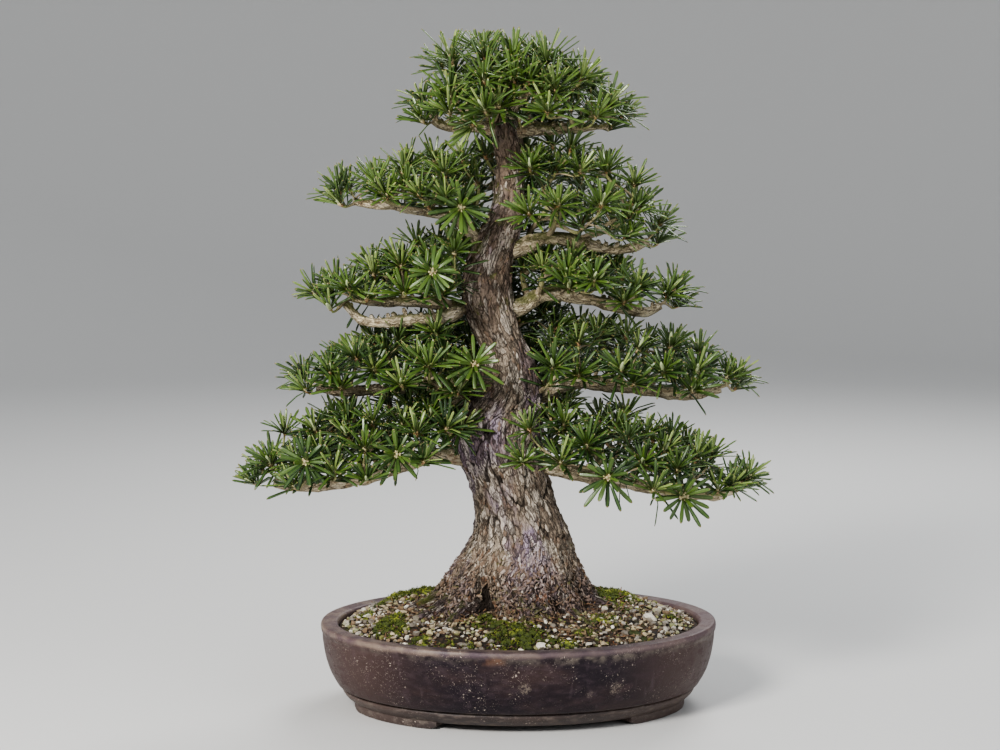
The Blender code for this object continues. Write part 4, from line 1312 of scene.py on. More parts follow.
    def build_gravel(self) -> list[bpy.types.Object]:
        """Scatter pebbles of four kinds and two sizes.

        Returns:
            The gravel, a piece for each kind.
        """
        heaps = {kind: Heap() for kind in PebbleKind}
        draw = random.Random("pebbles")
        shapes = [ball(detail) for detail in (0, 1, 2)]
        for number, (x, y, size, large) in enumerate(list(self.lay_pebbles(draw))):
            kind = PebbleKind.WHITE if large else draw.choices(list(heaps), [k.value[1] for k in heaps])[0]
            base, faces = shapes[2 if large else 1 if size > self.small_pebble else 0]
            squash = np.array([draw.uniform(*span) for span in self.pebble_squash]) * size
            marks = (draw.random() ** 1.3, draw.random(), 0.0)
            if large:
                squash = np.array([1.0, 0.9, 0.8]) * size
                marks = (0.1, 0.0, 0.0)
            seed = Vector((number * 0.37, 0.0, 0.0))
            lumps = np.array([1.0 + 0.55 * noise.noise(Vector(p) * 1.25 + seed) + draw.uniform(-0.11, 0.11)
                              for p in base])
            turn = Matrix.Rotation(draw.uniform(0, math.tau), 3, "Z")
            turn @= Matrix.Rotation(draw.uniform(-0.8, 0.8), 3, "X")
            lift = self.surface(x, y) + squash[2] * draw.uniform(0.15, 0.55)
            if size > self.small_pebble and draw.random() < 0.22:
                lift += draw.uniform(0.0008, 0.0022)
            heaps[kind].add((base * lumps[:, None] * squash) @ np.array(turn).T + (x, y, lift), faces, marks)
        return [heap.make(f"gravel_{kind.value[0]}",
                          [StoneFinish(f"{kind.value[0]}_pebbles", *kind.value[2:])],
                          Slot.SOIL, sharp=38.0) for kind, heap in heaps.items()]

    def build_moss(self) -> bpy.types.Object:
        """Build moss as low cushions under a dense nap of small shoots.

        Returns:
            The moss.
        """
        heap = Heap()
        draw = random.Random("moss")
        base, faces = ball(1)
        blade = np.array(((-0.5, -0.3, 0.0), (0.5, -0.3, 0.0), (0.0, 0.6, 0.0), (0.0, 0.0, 1.0)))
        blade_faces = [(0, 2, 1), (0, 1, 3), (1, 2, 3), (2, 0, 3)]
        for x, y in self.rim.spots(draw, self.moss_tries):
            growth = self.mossy(x, y)
            if self.reach(x, y) > 0.965 or draw.random() > growth * 1.3:
                continue
            if self.trunk.clearance(x, y) < -0.004:
                continue
            rise = self.moss_rise * growth * (0.6 + 0.8 * abs(noise.noise(Vector((x, y, 5.0)) * 85.0)))
            ground = self.surface(x, y)
            if draw.random() < 0.16:
                size = draw.uniform(0.0022, 0.0042)
                lumps = np.array([1.0 + 0.5 * noise.noise(Vector(p) * 1.6 + Vector((x, y, 0)) * 90.0)
                                  for p in base])
                body = base * lumps[:, None] * (size * 1.5, size * 1.5, rise * 0.8 + 0.0008)
                marks = mark_rows(np.clip((base[:, 2] + 0.2) * 0.4, 0.0, 0.45), draw.random(), 0.0)
                heap.add(body + (x, y, ground), faces, marks)
            marks = mark_rows((0.25, 0.25, 0.25, 1.0), draw.random(), 0.0)
            foot = Vector((x, y, ground + rise * draw.uniform(0.35, 0.95)))
            for _ in range(3):
                turn = np.array((UP + jitter(draw, 0.85)).normalized().to_track_quat("Z", "Y").to_matrix())
                reach = (self.blade_width, self.blade_width, draw.uniform(0.0016, 0.0034))
                root = np.array(foot + jitter(draw, 0.0010))
                heap.add((blade * reach) @ turn.T + root, blade_faces, marks)
        return heap.make("moss", [MossFinish()], Slot.SOIL)

    def build_litter(self) -> bpy.types.Object:
        """Scatter dead needle bits, bark crumbs and clods of earth, thickest at the roots.

        Returns:
            The litter.
        """
        heap = Heap()
        draw = random.Random("litter")
        base, faces = ball(0)
        for number, (x, y) in enumerate(self.rim.spots(draw, self.litter_tries)):
            near = self.trunk.clearance(x, y)
            # Litter is thicker near the roots and in the bare patches, the one on the right being painted
            # shade
            bare = max(self.bare(x, y), smooth(near, 0.05, 0.01))
            if self.reach(x, y) > 0.95 or near < 0.001 or draw.random() > 0.22 + 0.78 * bare:
                continue
            z = self.surface(x, y)
            if number % 4 == 0:
                way = Vector((draw.uniform(-1, 1), draw.uniform(-1, 1), draw.uniform(-0.15, 0.35)))
                way = way.normalized() * draw.uniform(0.004, 0.013)
                start = Vector((x, y, z + 0.0010))
                bent = [start, start + way * 0.5 + jitter(draw, 0.0022), start + way]
                heap.add(*tube(bent, [0.0007, 0.0009, 0.0004], 4)[:2], (draw.random(), 0, 0), 1)
                continue
            size = np.array([draw.uniform(0.0008, 0.0030) for _ in range(3)])
            turn = Matrix.Rotation(draw.uniform(0, math.tau), 3, jitter(draw, 1.0).normalized())
            kind = 2 if draw.random() < 0.30 else 0
            if kind:
                size *= (1.5, 0.8, 0.5)
            heap.add((base * size) @ np.array(turn).T + (x, y, z + size[2] * 0.5), faces,
                     (draw.random(), draw.random(), 0), kind)
        finishes = [StoneFinish("earth_crumbs", (0.085, 0.052, 0.032), (0.035, 0.022, 0.015)),
                    StoneFinish("dead_needles", (0.24, 0.125, 0.060), (0.13, 0.075, 0.040)),
                    StoneFinish("bark_crumbs", (0.30, 0.215, 0.155), (0.16, 0.105, 0.070))]
        return heap.make("litter", finishes, Slot.SOIL)


# Trunk and limbs


def tall_vector(at: Vector, share: float, aside: float = 0.0) -> Vector:
    """Coordinates moved aside, with their height taken by a share."""
    return Vector((at.x + aside, at.y, at.z * share))


def bearings(*rows: tuple[float, ...]) -> tuple[tuple[float, ...], ...]:
    """Rows whose first value is turned from degrees into radians."""
    return tuple((math.radians(row[0]), *row[1:]) for row in rows)


@dataclass(frozen=True)
class Bark:
    """Relief of the bark: long ragged plates in layers, and small tilted flakes where it is flaky."""

    plate_scale: float = 74.0
    plate_stretch: float = 0.28
    strip_scale: float = 160.0
    strip_stretch: float = 0.40
    layer_scale: float = 78.0
    layer_stretch: float = 0.42
    flake_width: float = 0.0075
    flake_stretch: float = 0.45
    plate_height: float = 0.0019
    strip_height: float = 0.0011
    layer_height: float = 0.0008
    flake_height: float = 0.0026
    rough_height: float = 0.0010

    def relief(self, at: Vector, flaky: float, depth: float = 1.0) -> tuple[float, float, float]:
        """Height of the bark at a place.

        Args:
            at: Coordinates along the grain.
            flaky: Share of the flakes, from 0 to 1.
            depth: Share of the full relief.

        Returns:
            Height, and the openness and layer marks from 0 to 1.
        """
        bent = at + noise.noise_vector(at * 30.0) * 0.0050 + noise.noise_vector(at * 120.0) * 0.0016
        plate = smooth(abs(noise.noise(tall_vector(bent, self.plate_stretch) * self.plate_scale)), 0.0, 0.17)
        strip = noise.noise(tall_vector(bent, self.strip_stretch, 3.0) * self.strip_scale)
        strip = smooth(abs(strip), 0.0, 0.26)
        layers = noise.fractal(tall_vector(bent, self.layer_stretch) * self.layer_scale, 0.9, 2.0, 3) * 3.2
        layer = math.floor(layers) + smooth(layers - math.floor(layers), 0.30, 0.62)
        long_height = plate * self.plate_height + strip * self.strip_height + layer * self.layer_height
        spot = tall_vector(bent, self.flake_stretch) / self.flake_width
        spans, cells = noise.voronoi(spot)
        tone = noise.cell(cells[0] * 9.7) % 1.0
        gap = smooth(spans[1] - spans[0], 0.0, 0.20)
        lean = (spot - cells[0]).dot(Vector((math.sin(tone * 29.0), math.cos(tone * 29.0), 0.8)))
        small_height = (0.35 + 0.65 * gap) * (tone * 0.7 + 0.3 - lean * 0.45) * self.flake_height
        small_height += plate * self.plate_height * 0.45 + layer * self.layer_height * 0.8
        rough = noise.fractal(tall_vector(at, 0.5) * 260.0, 0.7, 2.0, 3) * self.rough_height
        height = long_height * (1.0 - flaky) + small_height * flaky + rough - self.plate_height * 0.75
        # Openness is low in the fissures, where the bark's finish paints shade
        open_to = plate * (0.45 + 0.55 * strip) * (1.0 - flaky) + gap * (0.40 + 0.60 * plate) * flaky
        return height * depth, open_to, min(max(0.5 + layer * 0.16, 0.0), 1.0) * (1.0 - flaky) + tone * flaky


@dataclass
class Timber:
    """Wood with bark, gathered in one heap."""

    bark: Bark = Bark()
    heap: Heap = field(default_factory=Heap)

    def add_limb(self, path: list[Vector], radii: list[float], sides: int, flaky: float,
                 depth: float) -> None:
        """Add one tube of wood with bark relief along its grain.

        Args:
            path: Points along the middle.
            radii: Radius at each point.
            sides: Number of points round the tube.
            flaky: Share of flaky bark.
            depth: Share of the bark's full relief.
        """
        points, faces, outs = tube(path, radii, sides)
        along = [0.0]
        for a, b in zip(path, path[1:]):
            along.append(along[-1] + (b - a).length)
        marks = []
        grain = []
        for number, out in enumerate(outs):
            ring = number // sides
            turn = math.tau * (number % sides) / sides
            at = Vector((radii[ring] * math.cos(turn) + path[0].y, radii[ring] * math.sin(turn),
                         along[ring] + path[0].z))
            height, plate, cell = self.bark.relief(at, flaky, depth)
            points[number] = points[number] + out * (height + 0.0006 * depth)
            # The openness mark is low in the fissures, where the bark's finish paints shade
            marks.append((0.25 + 0.75 * plate, cell, flaky))
            grain.append(tuple(at))
        self.heap.add(points, faces, marks, 0, grain)


@dataclass
class Trunk(Timber):
    """The trunk from the soil to the crown, with its root flare, surface roots and loose flakes."""

    # (x, z, half width) up the trunk
    stations: tuple[Point, ...] = metres(
        (1, 113, 97.5), (1, 131, 86.5), (0, 148, 77.5), (0, 166, 69), (2, 182, 61.2), (3, 202, 53.5),
        (-2, 226, 47.5), (-11, 257, 45), (-19, 282, 48), (-25, 315, 51), (-25, 338, 51), (-12, 370, 37.5),
        (-14, 406, 28.5), (-27, 438, 27.5), (-36, 470, 29), (-36, 505, 26), (-24, 545, 24.5), (-13, 577, 18),
        (-11, 622, 15.2), (-14, 662, 16.5), (-15, 690, 11), (-8, 718, 7))
    buried_z: float = 0.088
    depth: float = 0.88
    sides: int = 184
    row_step: float = 0.0023
    upper_row_step: float = 0.0032
    flare_from: float = 0.240
    flare_pinch: float = 0.20
    buttress_width: float = math.radians(21)
    # Root buttresses as (bearing, strength), and clefts as (bearing, half width in degrees, depth, top)
    buttresses: tuple[Pair, ...] = bearings((-6, 0.20), (-48, 0.16), (-84, 0.13), (-142, 0.28), (178, 0.32),
                                            (125, 0.18), (62, 0.21))
    clefts: tuple[tuple[float, ...], ...] = bearings(
        (-124, 7.5, 0.27, 0.190), (-62, 4.5, 0.15, 0.178), (-30, 5.0, 0.10, 0.190), (95, 7.0, 0.24, 0.200),
        (20, 6.0, 0.14, 0.190), (152, 6.0, 0.20, 0.200))
    # Surface roots as (bearing, length, radius)
    roots: tuple[Point, ...] = bearings(
        (-158, 0.052, 0.0100), (-136, 0.046, 0.0085), (-176, 0.050, 0.0090), (-52, 0.030, 0.0065),
        (-14, 0.046, 0.0080), (4, 0.040, 0.0075), (38, 0.040, 0.0070), (66, 0.045, 0.0085),
        (128, 0.044, 0.0085), (160, 0.040, 0.0070), (-92, 0.020, 0.0060))
    flaky_to: float = 0.190
    loose_flakes: int = 4900

    def __post_init__(self) -> None:
        """Lay the smooth line of middles and widths through the stations."""
        self.base = self.stations[0][1]
        route = Route(tuple((x, width, z) for x, z, width in self.stations))
        rows = np.array([tuple(p) for p in route.points])
        self.rows = rows[np.argsort(rows[:, 2])]

    def middle(self, z: float) -> float:
        """Place of the trunk's middle along X at a height."""
        return float(np.interp(z, self.rows[:, 2], self.rows[:, 0]))

    def radius(self, turn: float, z: float) -> float:
        """Radius of the plain trunk along X.

        Args:
            turn: Bearing.
            z: Height.

        Returns:
            The radius, with flare, buttresses, clefts and knobs.
        """
        width = float(np.interp(z, self.rows[:, 2], self.rows[:, 1]))
        flare = max(0.0, (self.flare_from - max(z, self.base)) / (self.flare_from - self.base)) ** 1.2
        lobes = sum(strength
                    * math.exp(-(math.remainder(turn - bearing, math.tau) / self.buttress_width) ** 2)
                    for bearing, strength in self.buttresses)
        share = 1.0 - self.flare_pinch * flare + flare * lobes - self.cleft(turn, z)
        lump = noise.noise(Vector((math.cos(turn) * 1.5, math.sin(turn) * 1.5, z * 18.0)))
        knob = noise.noise(Vector((math.cos(turn) * 1.9, math.sin(turn) * 1.9, z * 44.0 + 7.0)))
        return width * (share + lump * 0.045 + knob * 0.085 * smooth(z, 0.20, 0.34))

    def cleft(self, turn: float, z: float) -> float:
        """Share of the radius that the clefts between the roots take away.

        Args:
            turn: Bearing.
            z: Height.

        Returns:
            The share.
        """
        share = 0.0
        for bearing, half_width, depth, top in self.clefts:
            bent = bearing + 0.10 * noise.noise(Vector((bearing, 0.0, z * 22.0)))
            away = math.remainder(turn - bent, math.tau) / math.radians(half_width)
            share += depth * math.exp(-away * away) * (1.0 - smooth(z, self.base, top)) ** 0.8
        return share

    def outline(self, turn: float, z: float) -> Vector:
        """Point on the trunk's plain skin."""
        reach = self.radius(turn, z)
        return Vector((self.middle(z) + reach * math.cos(turn), reach * self.depth * math.sin(turn), z))

    def clearance(self, x: float, y: float) -> float:
        """How far a place on the soil lies outside the trunk."""
        edge = self.outline(math.atan2(y / self.depth, x - self.middle(self.base)), self.base)
        return math.hypot(x, y) - math.hypot(edge.x, edge.y)

    def flaky(self, z: float) -> float:
        """Share of flaky bark at a height."""
        return 1.0 - smooth(z, self.flaky_to - 0.055, self.flaky_to)

    def add_body(self) -> None:
        """Add the trunk itself, with its relief."""
        levels = [self.buried_z, (self.buried_z + self.base) / 2, self.base]
        while levels[-1] < self.stations[-1][1]:
            upper = smooth(levels[-1], 0.30, 0.50)
            step = self.row_step * (1 - upper) + self.upper_row_step * upper
            levels.append(min(self.stations[-1][1], levels[-1] + step))
        points = []
        marks = []
        grain = []
        for z in levels:
            depth = 0.30 + 0.70 * smooth(self.radius(0.0, z), 0.010, 0.052)
            for turn in turns(self.sides):
                skin = self.outline(turn, z)
                at = Vector((skin.x - self.middle(z), skin.y, z))
                height, plate, cell = self.bark.relief(at, self.flaky(z), depth)
                # Where the relief is shallow the openness mark is raised, so less shade is painted
                plate += (1.0 - depth) * 0.30
                points.append(skin + Vector((math.cos(turn), math.sin(turn), 0.0)) * height)
                # The openness mark falls to 0 in the clefts, where the bark's finish paints shade
                marks.append((plate * (1.0 - smooth(self.cleft(turn, z), 0.04, 0.20)), cell, self.flaky(z)))
                grain.append(tuple(at))
        self.heap.add(points, tube_faces(len(levels), self.sides), marks, 0, grain)

    def add_roots(self, soil: SoilBed) -> None:
        """Add the roots that creep over the soil and dive into it.

        Args:
            soil: The soil that they lie on.
        """
        draw = random.Random("roots")
        for bearing, reach, radius in self.roots:
            edge = self.outline(bearing, self.base)
            edge.z = 0.0
            out = edge.normalized()
            path = []
            radii = []
            swing = draw.uniform(-1, 1)
            for i in range(23):
                share = i / 22
                place = edge + out * (-0.026 + (reach + 0.026) * share)
                place += UP.cross(out) * math.sin(share * 4.2 + swing) * 0.008 * share
                size = radius * (1.25 - 0.95 * share ** 0.8) * draw.uniform(0.90, 1.10)
                place.z = soil.height(place.x, place.y) + 0.012 * (1 - share) ** 2
                place.z -= (0.35 + 0.9 * share ** 2) * size * 0.9
                path.append(place)
                radii.append(size)
            self.add_limb(path, radii, 22, 1.0, 0.55)

    def add_flakes(self) -> None:
        """Add loose scales of bark that lift off the skin, small and tangled at the base and long above."""
        draw = random.Random("flakes")
        for number in range(self.loose_flakes):
            if number % 8:
                z = 0.110 + (self.flaky_to - 0.115) * draw.random() ** 1.25
            else:
                z = self.flaky_to - 0.03 + (self.stations[-2][1] - self.flaky_to) * draw.random() ** 1.5
            turn = draw.uniform(0, math.tau)
            low = self.flaky(z)
            if self.cleft(turn, z) > 0.17:
                continue
            skin = self.outline(turn, z)
            rise = self.outline(turn, z + 0.003) - skin
            out = (self.outline(turn + 0.04, z) - skin).cross(rise).normalized()
            rise.normalize()
            length = draw.uniform(0.0018, 0.0046) if draw.random() < low else draw.uniform(0.0030, 0.0065)
            width = length * draw.uniform(0.24, 0.50)
            spin = Matrix.Rotation(draw.gauss(0, 0.20 + 0.72 * low), 3, out)
            tilt = Matrix.Rotation(draw.gauss(0, 0.20 + 0.35 * low), 3, spin @ rise)
            nod = Matrix.Rotation(draw.uniform(-0.25 - 0.40 * low, 0.20), 3, spin @ rise.cross(out))
            long_way, wide_way, up_way = (nod @ tilt @ spin @ way for way in (rise, rise.cross(out), out))
            rim = []
            for k in range(5):
                a = math.tau * (k + draw.uniform(-0.2, 0.2)) / 5
                size = draw.uniform(0.72, 1.15)
                rim.append(long_way * math.cos(a) * length * size + wide_way * math.sin(a) * width * size
                           + up_way * (math.cos(a) ** 2 - 0.4) * length * draw.uniform(0.0, 0.30))
            seat = skin + out * draw.uniform(-0.0002, 0.0014 + 0.0010 * low)
            thick = draw.uniform(0.0004, 0.0009)
            points = [seat + p * 1.05 - up_way * thick for p in rim]
            points += [seat + p + up_way * thick * 0.3 for p in rim]
            at = (skin.x - self.middle(z), skin.y, z)
            self.heap.add(points, tube_faces(2, 5), (1.5, draw.random(), low), 0, [at] * 10)

    def build(self, soil: SoilBed) -> bpy.types.Object:
        """Build the trunk and let it stand for its node.

        Args:
            soil: The soil that its roots lie on.

        Returns:
            The trunk.
        """
        self.add_body()
        self.add_roots(soil)
        self.add_flakes()
        return self.heap.make("trunk_wood", [BarkFinish("trunk_bark")], Slot.BARK, "trunk")


@dataclass
class Limbs(Timber):
    """All the limbs, with their spurs."""

    tip_growth: float = 1.65
    row_step: float = 0.0034
    collar_reach: float = 0.042
    sides: int = 20
    # Girth along a spur
    spur_girths: tuple[float, ...] = (1.35, 1.0, 0.85, 1.05, 0.60)

    def add_spurs(self, path: list[Vector], radii: list[float], draw: random.Random) -> None:
        """Add the short spurs and pruned stubs along a limb.

        Args:
            path: Points along the limb's middle.
            radii: Radius at each point.
            draw: Random draw of the limb.
        """
        for number in range(12, len(path) - 2, 3):
            ahead = (path[number + 1] - path[number - 1]).normalized()
            away = UP * draw.uniform(0.2, 1.0) + ahead.cross(UP) * draw.uniform(-1, 1)
            away = (away + ahead * 0.4).normalized()
            reach = draw.uniform(0.004, 0.011)
            size = radii[number] * draw.uniform(0.28, 0.50)
            bend = jitter(draw, 0.002)
            start = path[number] + away * radii[number] * 0.5
            spur = [start + away * reach * i / 4 + bend * (i / 4) ** 2 for i in range(5)]
            self.add_limb(spur, [size * girth for girth in self.spur_girths], 8, 0.30, 0.25)

    def build(self) -> bpy.types.Object:
        """Build all the limbs, thickened where they leave the trunk.

        Returns:
            The limbs.
        """
        for limb in LIMBS:
            reach = limb.path.lengths[-1]
            count = math.ceil(reach / self.row_step)
            path = [limb.path.at(i / count) for i in range(count + 1)]
            radii = []
            for i in range(count + 1):
                share = i / count
                taper = share ** 1.25
                size = limb.radii[0] * (1 - taper) + limb.radii[1] * self.tip_growth * taper
                collar = 0.55 * math.exp(-((share * reach / self.collar_reach) ** 2)) if limb.crown else 0.2
                knobs = noise.noise(Vector((share * reach * 70.0, path[0].x * 91.0, path[0].z * 77.0)))
                radii.append(size * (1.0 + collar * 0.7 + knobs * 0.30))
            self.add_limb(path, radii, self.sides, 0.30, 0.36)
            self.add_spurs(path, radii, random.Random("spurs " + limb.name))
        finish = BarkFinish("limb_bark", cream=(0.80, 0.70, 0.49), lilac=(0.64, 0.56, 0.41),
                            tan=(0.56, 0.45, 0.29), fissure=(0.105, 0.075, 0.048),
                            moss_amount=0.35, browned=0.0, stretch=0.40, depth=0.0012)
        return self.heap.make("limb_wood", [finish], Slot.BARK, "trunk")


# The tree's plan


@dataclass(frozen=True)
class Limb:
    """One limb: its route from inside the trunk to its tip, and the dome of shoots that it carries."""

    name: str
    route: tuple[Point, ...]
    radii: Pair
    crown: tuple[float, ...] = ()
    half_depth: float = 0.0
    stations: tuple[float, ...] = ()
    front_shoots: tuple[Point, ...] = ()
    # Front shoots that open towards the front like stars
    stars: tuple[int, ...] = ()
    # Whorls that stand out at the front of the dome
    whorls: tuple[Point, ...] = ()
    tops: tuple[float, ...] = ()

    @cached_property
    def path(self) -> Route:
        """The limb's curve."""
        return Route(self.route)

    def level(self, share: float) -> Vector:
        """Level direction of growth at a share of the limb."""
        ahead = self.path.ahead(share)
        return Vector((ahead.x, ahead.y, 0)).normalized()

    def pad_depth(self, share: float) -> float:
        """Half the width of the crown of shoots, at a share of the limb."""
        return self.half_depth * math.sin(math.pi * (0.18 + 0.70 * share))

    def crown_rise(self, share: float) -> float:
        """Height of the crown of shoots above the limb, at a share of it."""
        return float(np.interp(share * (len(self.crown) - 1), range(len(self.crown)), self.crown))


def limb_of(name: str, route: tuple[Point, ...], radii: Pair, crown: tuple[float, ...] = (),
            half_depth: float = 0, stations: tuple[float, ...] = (), front: tuple[Point, ...] = (),
            stars: tuple[int, ...] = (), whorls: tuple[Point, ...] = (),
            tops: tuple[float, ...] = ()) -> Limb:
    """Make a limb from sizes in whole millimetres.

    Args:
        name: Name of the limb, as its sprays have it.
        route: Points along it.
        radii: Its radius at the trunk and at the tip.
        crown: Height of the shoots above it, from its foot to its tip.
        half_depth: Half the width of the crown of shoots.
        stations: Shares of its length at which its sprays are rooted.
        front: Places of the shoots at its front.
        stars: Numbers of the front shoots that open towards the front like stars.
        whorls: Places of whorls that stand out at the front of the dome.
        tops: Shares of its length that carry a spray on top.

    Returns:
        The limb.
    """
    radii, crown, (half_depth,) = metres(radii, crown, (half_depth,))
    return Limb(name, metres(*route), radii, crown, half_depth, stations, metres(*front), stars,
                metres(*whorls), tops)


LONG = (0.32, 0.60, 0.86)
SHORT = (0.40, 0.80)
LIMBS = (
    limb_of(
        "tier1_left", ((-25, 0, 292), (-68, -6, 291), (-96, -14, 293), (-135, -24, 283), (-170, -28, 272),
                       (-205, -26, 264), (-250, -20, 260), (-280, -12, 263)),
        (10.5, 3.2), (30, 50, 66, 68, 22), 88, LONG, ((-241, -105, 300), (-140, -108, 308)), (0, 1),
        ((-195, -55, 341), (-167, -68, 336), (-294, -10, 277), (-268, -20, 320), (-282, -55, 290),
         (-85, -75, 331))),
    limb_of(
        "tier1_right", ((-5, 0, 286), (36, -6, 278), (60, -14, 272), (102, -22, 266), (145, -26, 257),
                        (191, -24, 249), (224, -18, 245), (246, -12, 250)),
        (9.5, 3), (45, 62, 64, 50, 16), 88, LONG, ((0, -94, 296), (93, -108, 281), (178, -100, 258)), (1, 2),
        ((49, -50, 332), (108, -40, 328), (171, -30, 311), (219, -30, 291), (258, -15, 261), (8, -80, 330),
         (72, -85, 312), (135, -85, 292), (238, -60, 262))),
    limb_of(
        "tier2_left", ((-20, 0, 334), (-52, 4, 344), (-72, 8, 356), (-92, 10, 369), (-112, 10, 371),
                       (-150, 6, 367), (-200, 0, 366), (-232, -4, 371)),
        (8.8, 2.8), (50, 60, 56, 40, 12), 80, LONG, ((-54, -78, 404), (-104, -84, 402)), (0,),
        ((-246, 0, 380), (-138, -20, 424), (-215, -45, 392), (-185, -50, 408), (-165, -55, 396),
         (-96, -30, 434))),
    limb_of(
        "tier2_right",
        ((-12, 0, 352), (26, 6, 360), (45, 10, 367), (62, 12, 374), (102, 10, 371), (150, 4, 365),
         (200, 0, 359), (232, -6, 369)),
        (9, 2.8), (40, 54, 52, 50, 18), 80, LONG, ((34, -72, 400),), (),
        ((72, -45, 426), (172, -20, 416), (249, -10, 381), (112, -60, 394), (135, -55, 380), (200, -45, 390),
         (160, -60, 392), (206, -14, 410))),
    limb_of(
        "tier3_left", ((-32, 0, 468), (-60, 4, 462), (-97, 10, 466), (-129, 12, 468), (-165, 10, 468),
                       (-196, 6, 474)),
        (7, 2.6), (56, 62, 58, 36, 14), 74, LONG, ((-100, -88, 508),), (0,),
        ((-231, -10, 478), (-146, -30, 521), (-193, -40, 485), (-75, -50, 526), (-214, -36, 463),
         (-160, -46, 482), (-128, -62, 486))),
    limb_of(
        "tier3_left_low",
        ((-62, 2, 461), (-85, -12, 452), (-121, -22, 450), (-153, -26, 447), (-180, -22, 450),
         (-197, -10, 466)), (6.4, 2)),
    limb_of(
        "tier3_right", ((-22, 0, 458), (4, 4, 463), (23, 8, 474), (45, 10, 477), (76, 8, 471), (112, 2, 462),
                        (145, -4, 456), (162, -8, 464)),
        (8.5, 2.6), (34, 36, 34, 32, 18), 74, SHORT, ((79, -84, 498),), (),
        ((176, -10, 481), (130, -50, 487), (110, -60, 480), (52, -50, 503))),
    limb_of(
        "tier4_left", ((-30, 0, 528), (-47, -2, 541), (-64, -4, 557), (-79, -6, 568), (-105, -6, 571),
                       (-139, -4, 577), (-170, -2, 580), (-188, 0, 583)),
        (6.6, 2.3), (60, 60, 48, 30, 12), 70, SHORT, ((-68, -70, 578),), (0,),
        ((-94, -55, 602), (-204, 0, 594), (-96, 0, 628), (-160, -30, 600), (-128, -45, 602))),
    limb_of(
        "tier4_right",
        ((-22, 0, 530), (2, -3, 531), (26, -6, 540), (45, -8, 541), (70, -10, 536), (104, -10, 528),
         (130, -8, 530), (147, -6, 538)),
        (7.8, 2.4), (92, 96, 98, 88, 26), 70, SHORT, ((8, -66, 570), (88, -70, 580)), (),
        ((86, -60, 583), (155, -20, 552), (18, -15, 622), (40, -30, 618), (64, -45, 620), (96, -40, 618),
         (128, -35, 602), (40, -72, 580), (122, -45, 566)), (0.20, 0.52, 0.84)),
    limb_of(
        "crown_left", ((-14, 0, 658), (-36, 0, 666), (-60, 0, 667), (-82, -2, 667), (-98, -4, 674)),
        (6.2, 2.2), (94, 94, 88, 72, 26), 74, SHORT, (), (),
        ((-42, -60, 716), (-100, 0, 694), (-48, -72, 690), (-78, -40, 700), (-74, -10, 726)), (0.30, 0.70)),
    limb_of(
        "crown_right",
        ((-13, 0, 656), (4, -4, 663), (36, -6, 664), (70, -6, 666), (90, -4, 667), (100, 0, 668)),
        (6.2, 2.2), (94, 90, 78, 54, 18), 74, SHORT, (), (),
        ((37, -60, 706), (72, -50, 684), (99, -5, 682), (52, -20, 724)), (0.30, 0.70)),
    limb_of(
        "crown_front", ((-14, 0, 676), (-8, -14, 686), (0, -28, 696), (8, -40, 706)),
        (4.5, 2.2), (30, 24, 16), 36, (0.9,)),
    limb_of(
        "crown_back", ((-15, 2, 680), (-14, 20, 690), (-8, 42, 698), (-4, 58, 706)),
        (4.5, 2.2), (34, 26, 16), 40, (0.9,)),
    limb_of(
        "tier1_back", ((-20, 8, 325), (-26, 55, 336), (-20, 100, 334), (-10, 142, 328), (-4, 172, 332)),
        (8.5, 3), (30, 48, 44, 14), 78, SHORT),
    limb_of(
        "tier2_back", ((-13, 6, 397), (-6, 48, 410), (-12, 88, 408), (-22, 124, 404), (-26, 148, 408)),
        (7.4, 2.8), (30, 44, 40, 12), 70, SHORT),
    limb_of(
        "tier3_back", ((-37, 6, 490), (-40, 43, 502), (-32, 76, 500), (-26, 106, 496), (-22, 126, 501)),
        (6.6, 2.6), (26, 38, 34, 12), 60, SHORT),
    limb_of(
        "tier4_back", ((-13, 4, 590), (-12, 34, 599), (-18, 60, 598), (-24, 84, 596), (-26, 100, 600)),
        (5.6, 2.4), (26, 34, 30, 12), 52, SHORT),
)


# Foliage


@dataclass
class Needle:
    """How one needle is set."""

    root: Vector
    way: Vector
    top: Vector
    length: float
    width: float
    curl: float
    tone: float


@dataclass(frozen=True)
class NeedleShape:
    """A blunt, grooved needle."""

    length: float = 0.0340
    width: float = 0.0040
    thick: float = 0.0014
    curl: float = 0.12
    droop: float = 0.05

    def add(self, heap: Heap, needles: list[Needle], cut: Cut) -> None:
        """Add many needles at once.

        Args:
            heap: Heap of the spray.
            needles: The needles.
            cut: How finely they are cut.
        """
        stations, section = (np.array(values) for values in cut.value)
        count, levels, around = len(needles), len(stations), len(section)
        one = (count, 1, 1, -1)
        roots, ways, tops = (np.array([tuple(getattr(needle, key)) for needle in needles]).reshape(one)
                             for key in ("root", "way", "top"))
        lengths, widths, curls, tones = (np.array([getattr(needle, key) for needle in needles]).reshape(one)
                                         for key in ("length", "width", "curl", "tone"))
        along, broad = (stations[None, :, None, i, None] for i in (0, 1))
        across, high, groove = (section[None, None, :, i, None] for i in (0, 1, 2))
        points = roots + ways * along * lengths
        points = points + (along ** 2) * lengths * (np.array((0.0, 0.0, -self.droop)) - tops * curls)
        points = points + np.cross(ways, tops) * across * broad * widths / 2
        points = points + (tops + ways * 2 * along * curls) * high * (0.35 + 0.65 * broad) * self.thick
        marks = mark_rows(*(np.broadcast_to(value, (count, levels, around, 1)).ravel()
                            for value in (along, tones, groove)))
        rows = [tuple(reversed(row)) for row in tube_faces(levels, around)]
        size = levels * around
        faces = [tuple(i + start for i in row) for start in range(0, count * size, size) for row in rows]
        heap.add(points.reshape(-1, 3), faces, marks)


@dataclass
class Site:
    """Place, axis and age of one whorl."""

    place: Vector
    axis: Vector
    age: Age


@dataclass
class Twig:
    """A stem that ends in a whorl, and how many whorls each of its points carries."""

    path: list[Vector]
    parent: Twig | None
    index: int
    load: list[int]
    site: Site


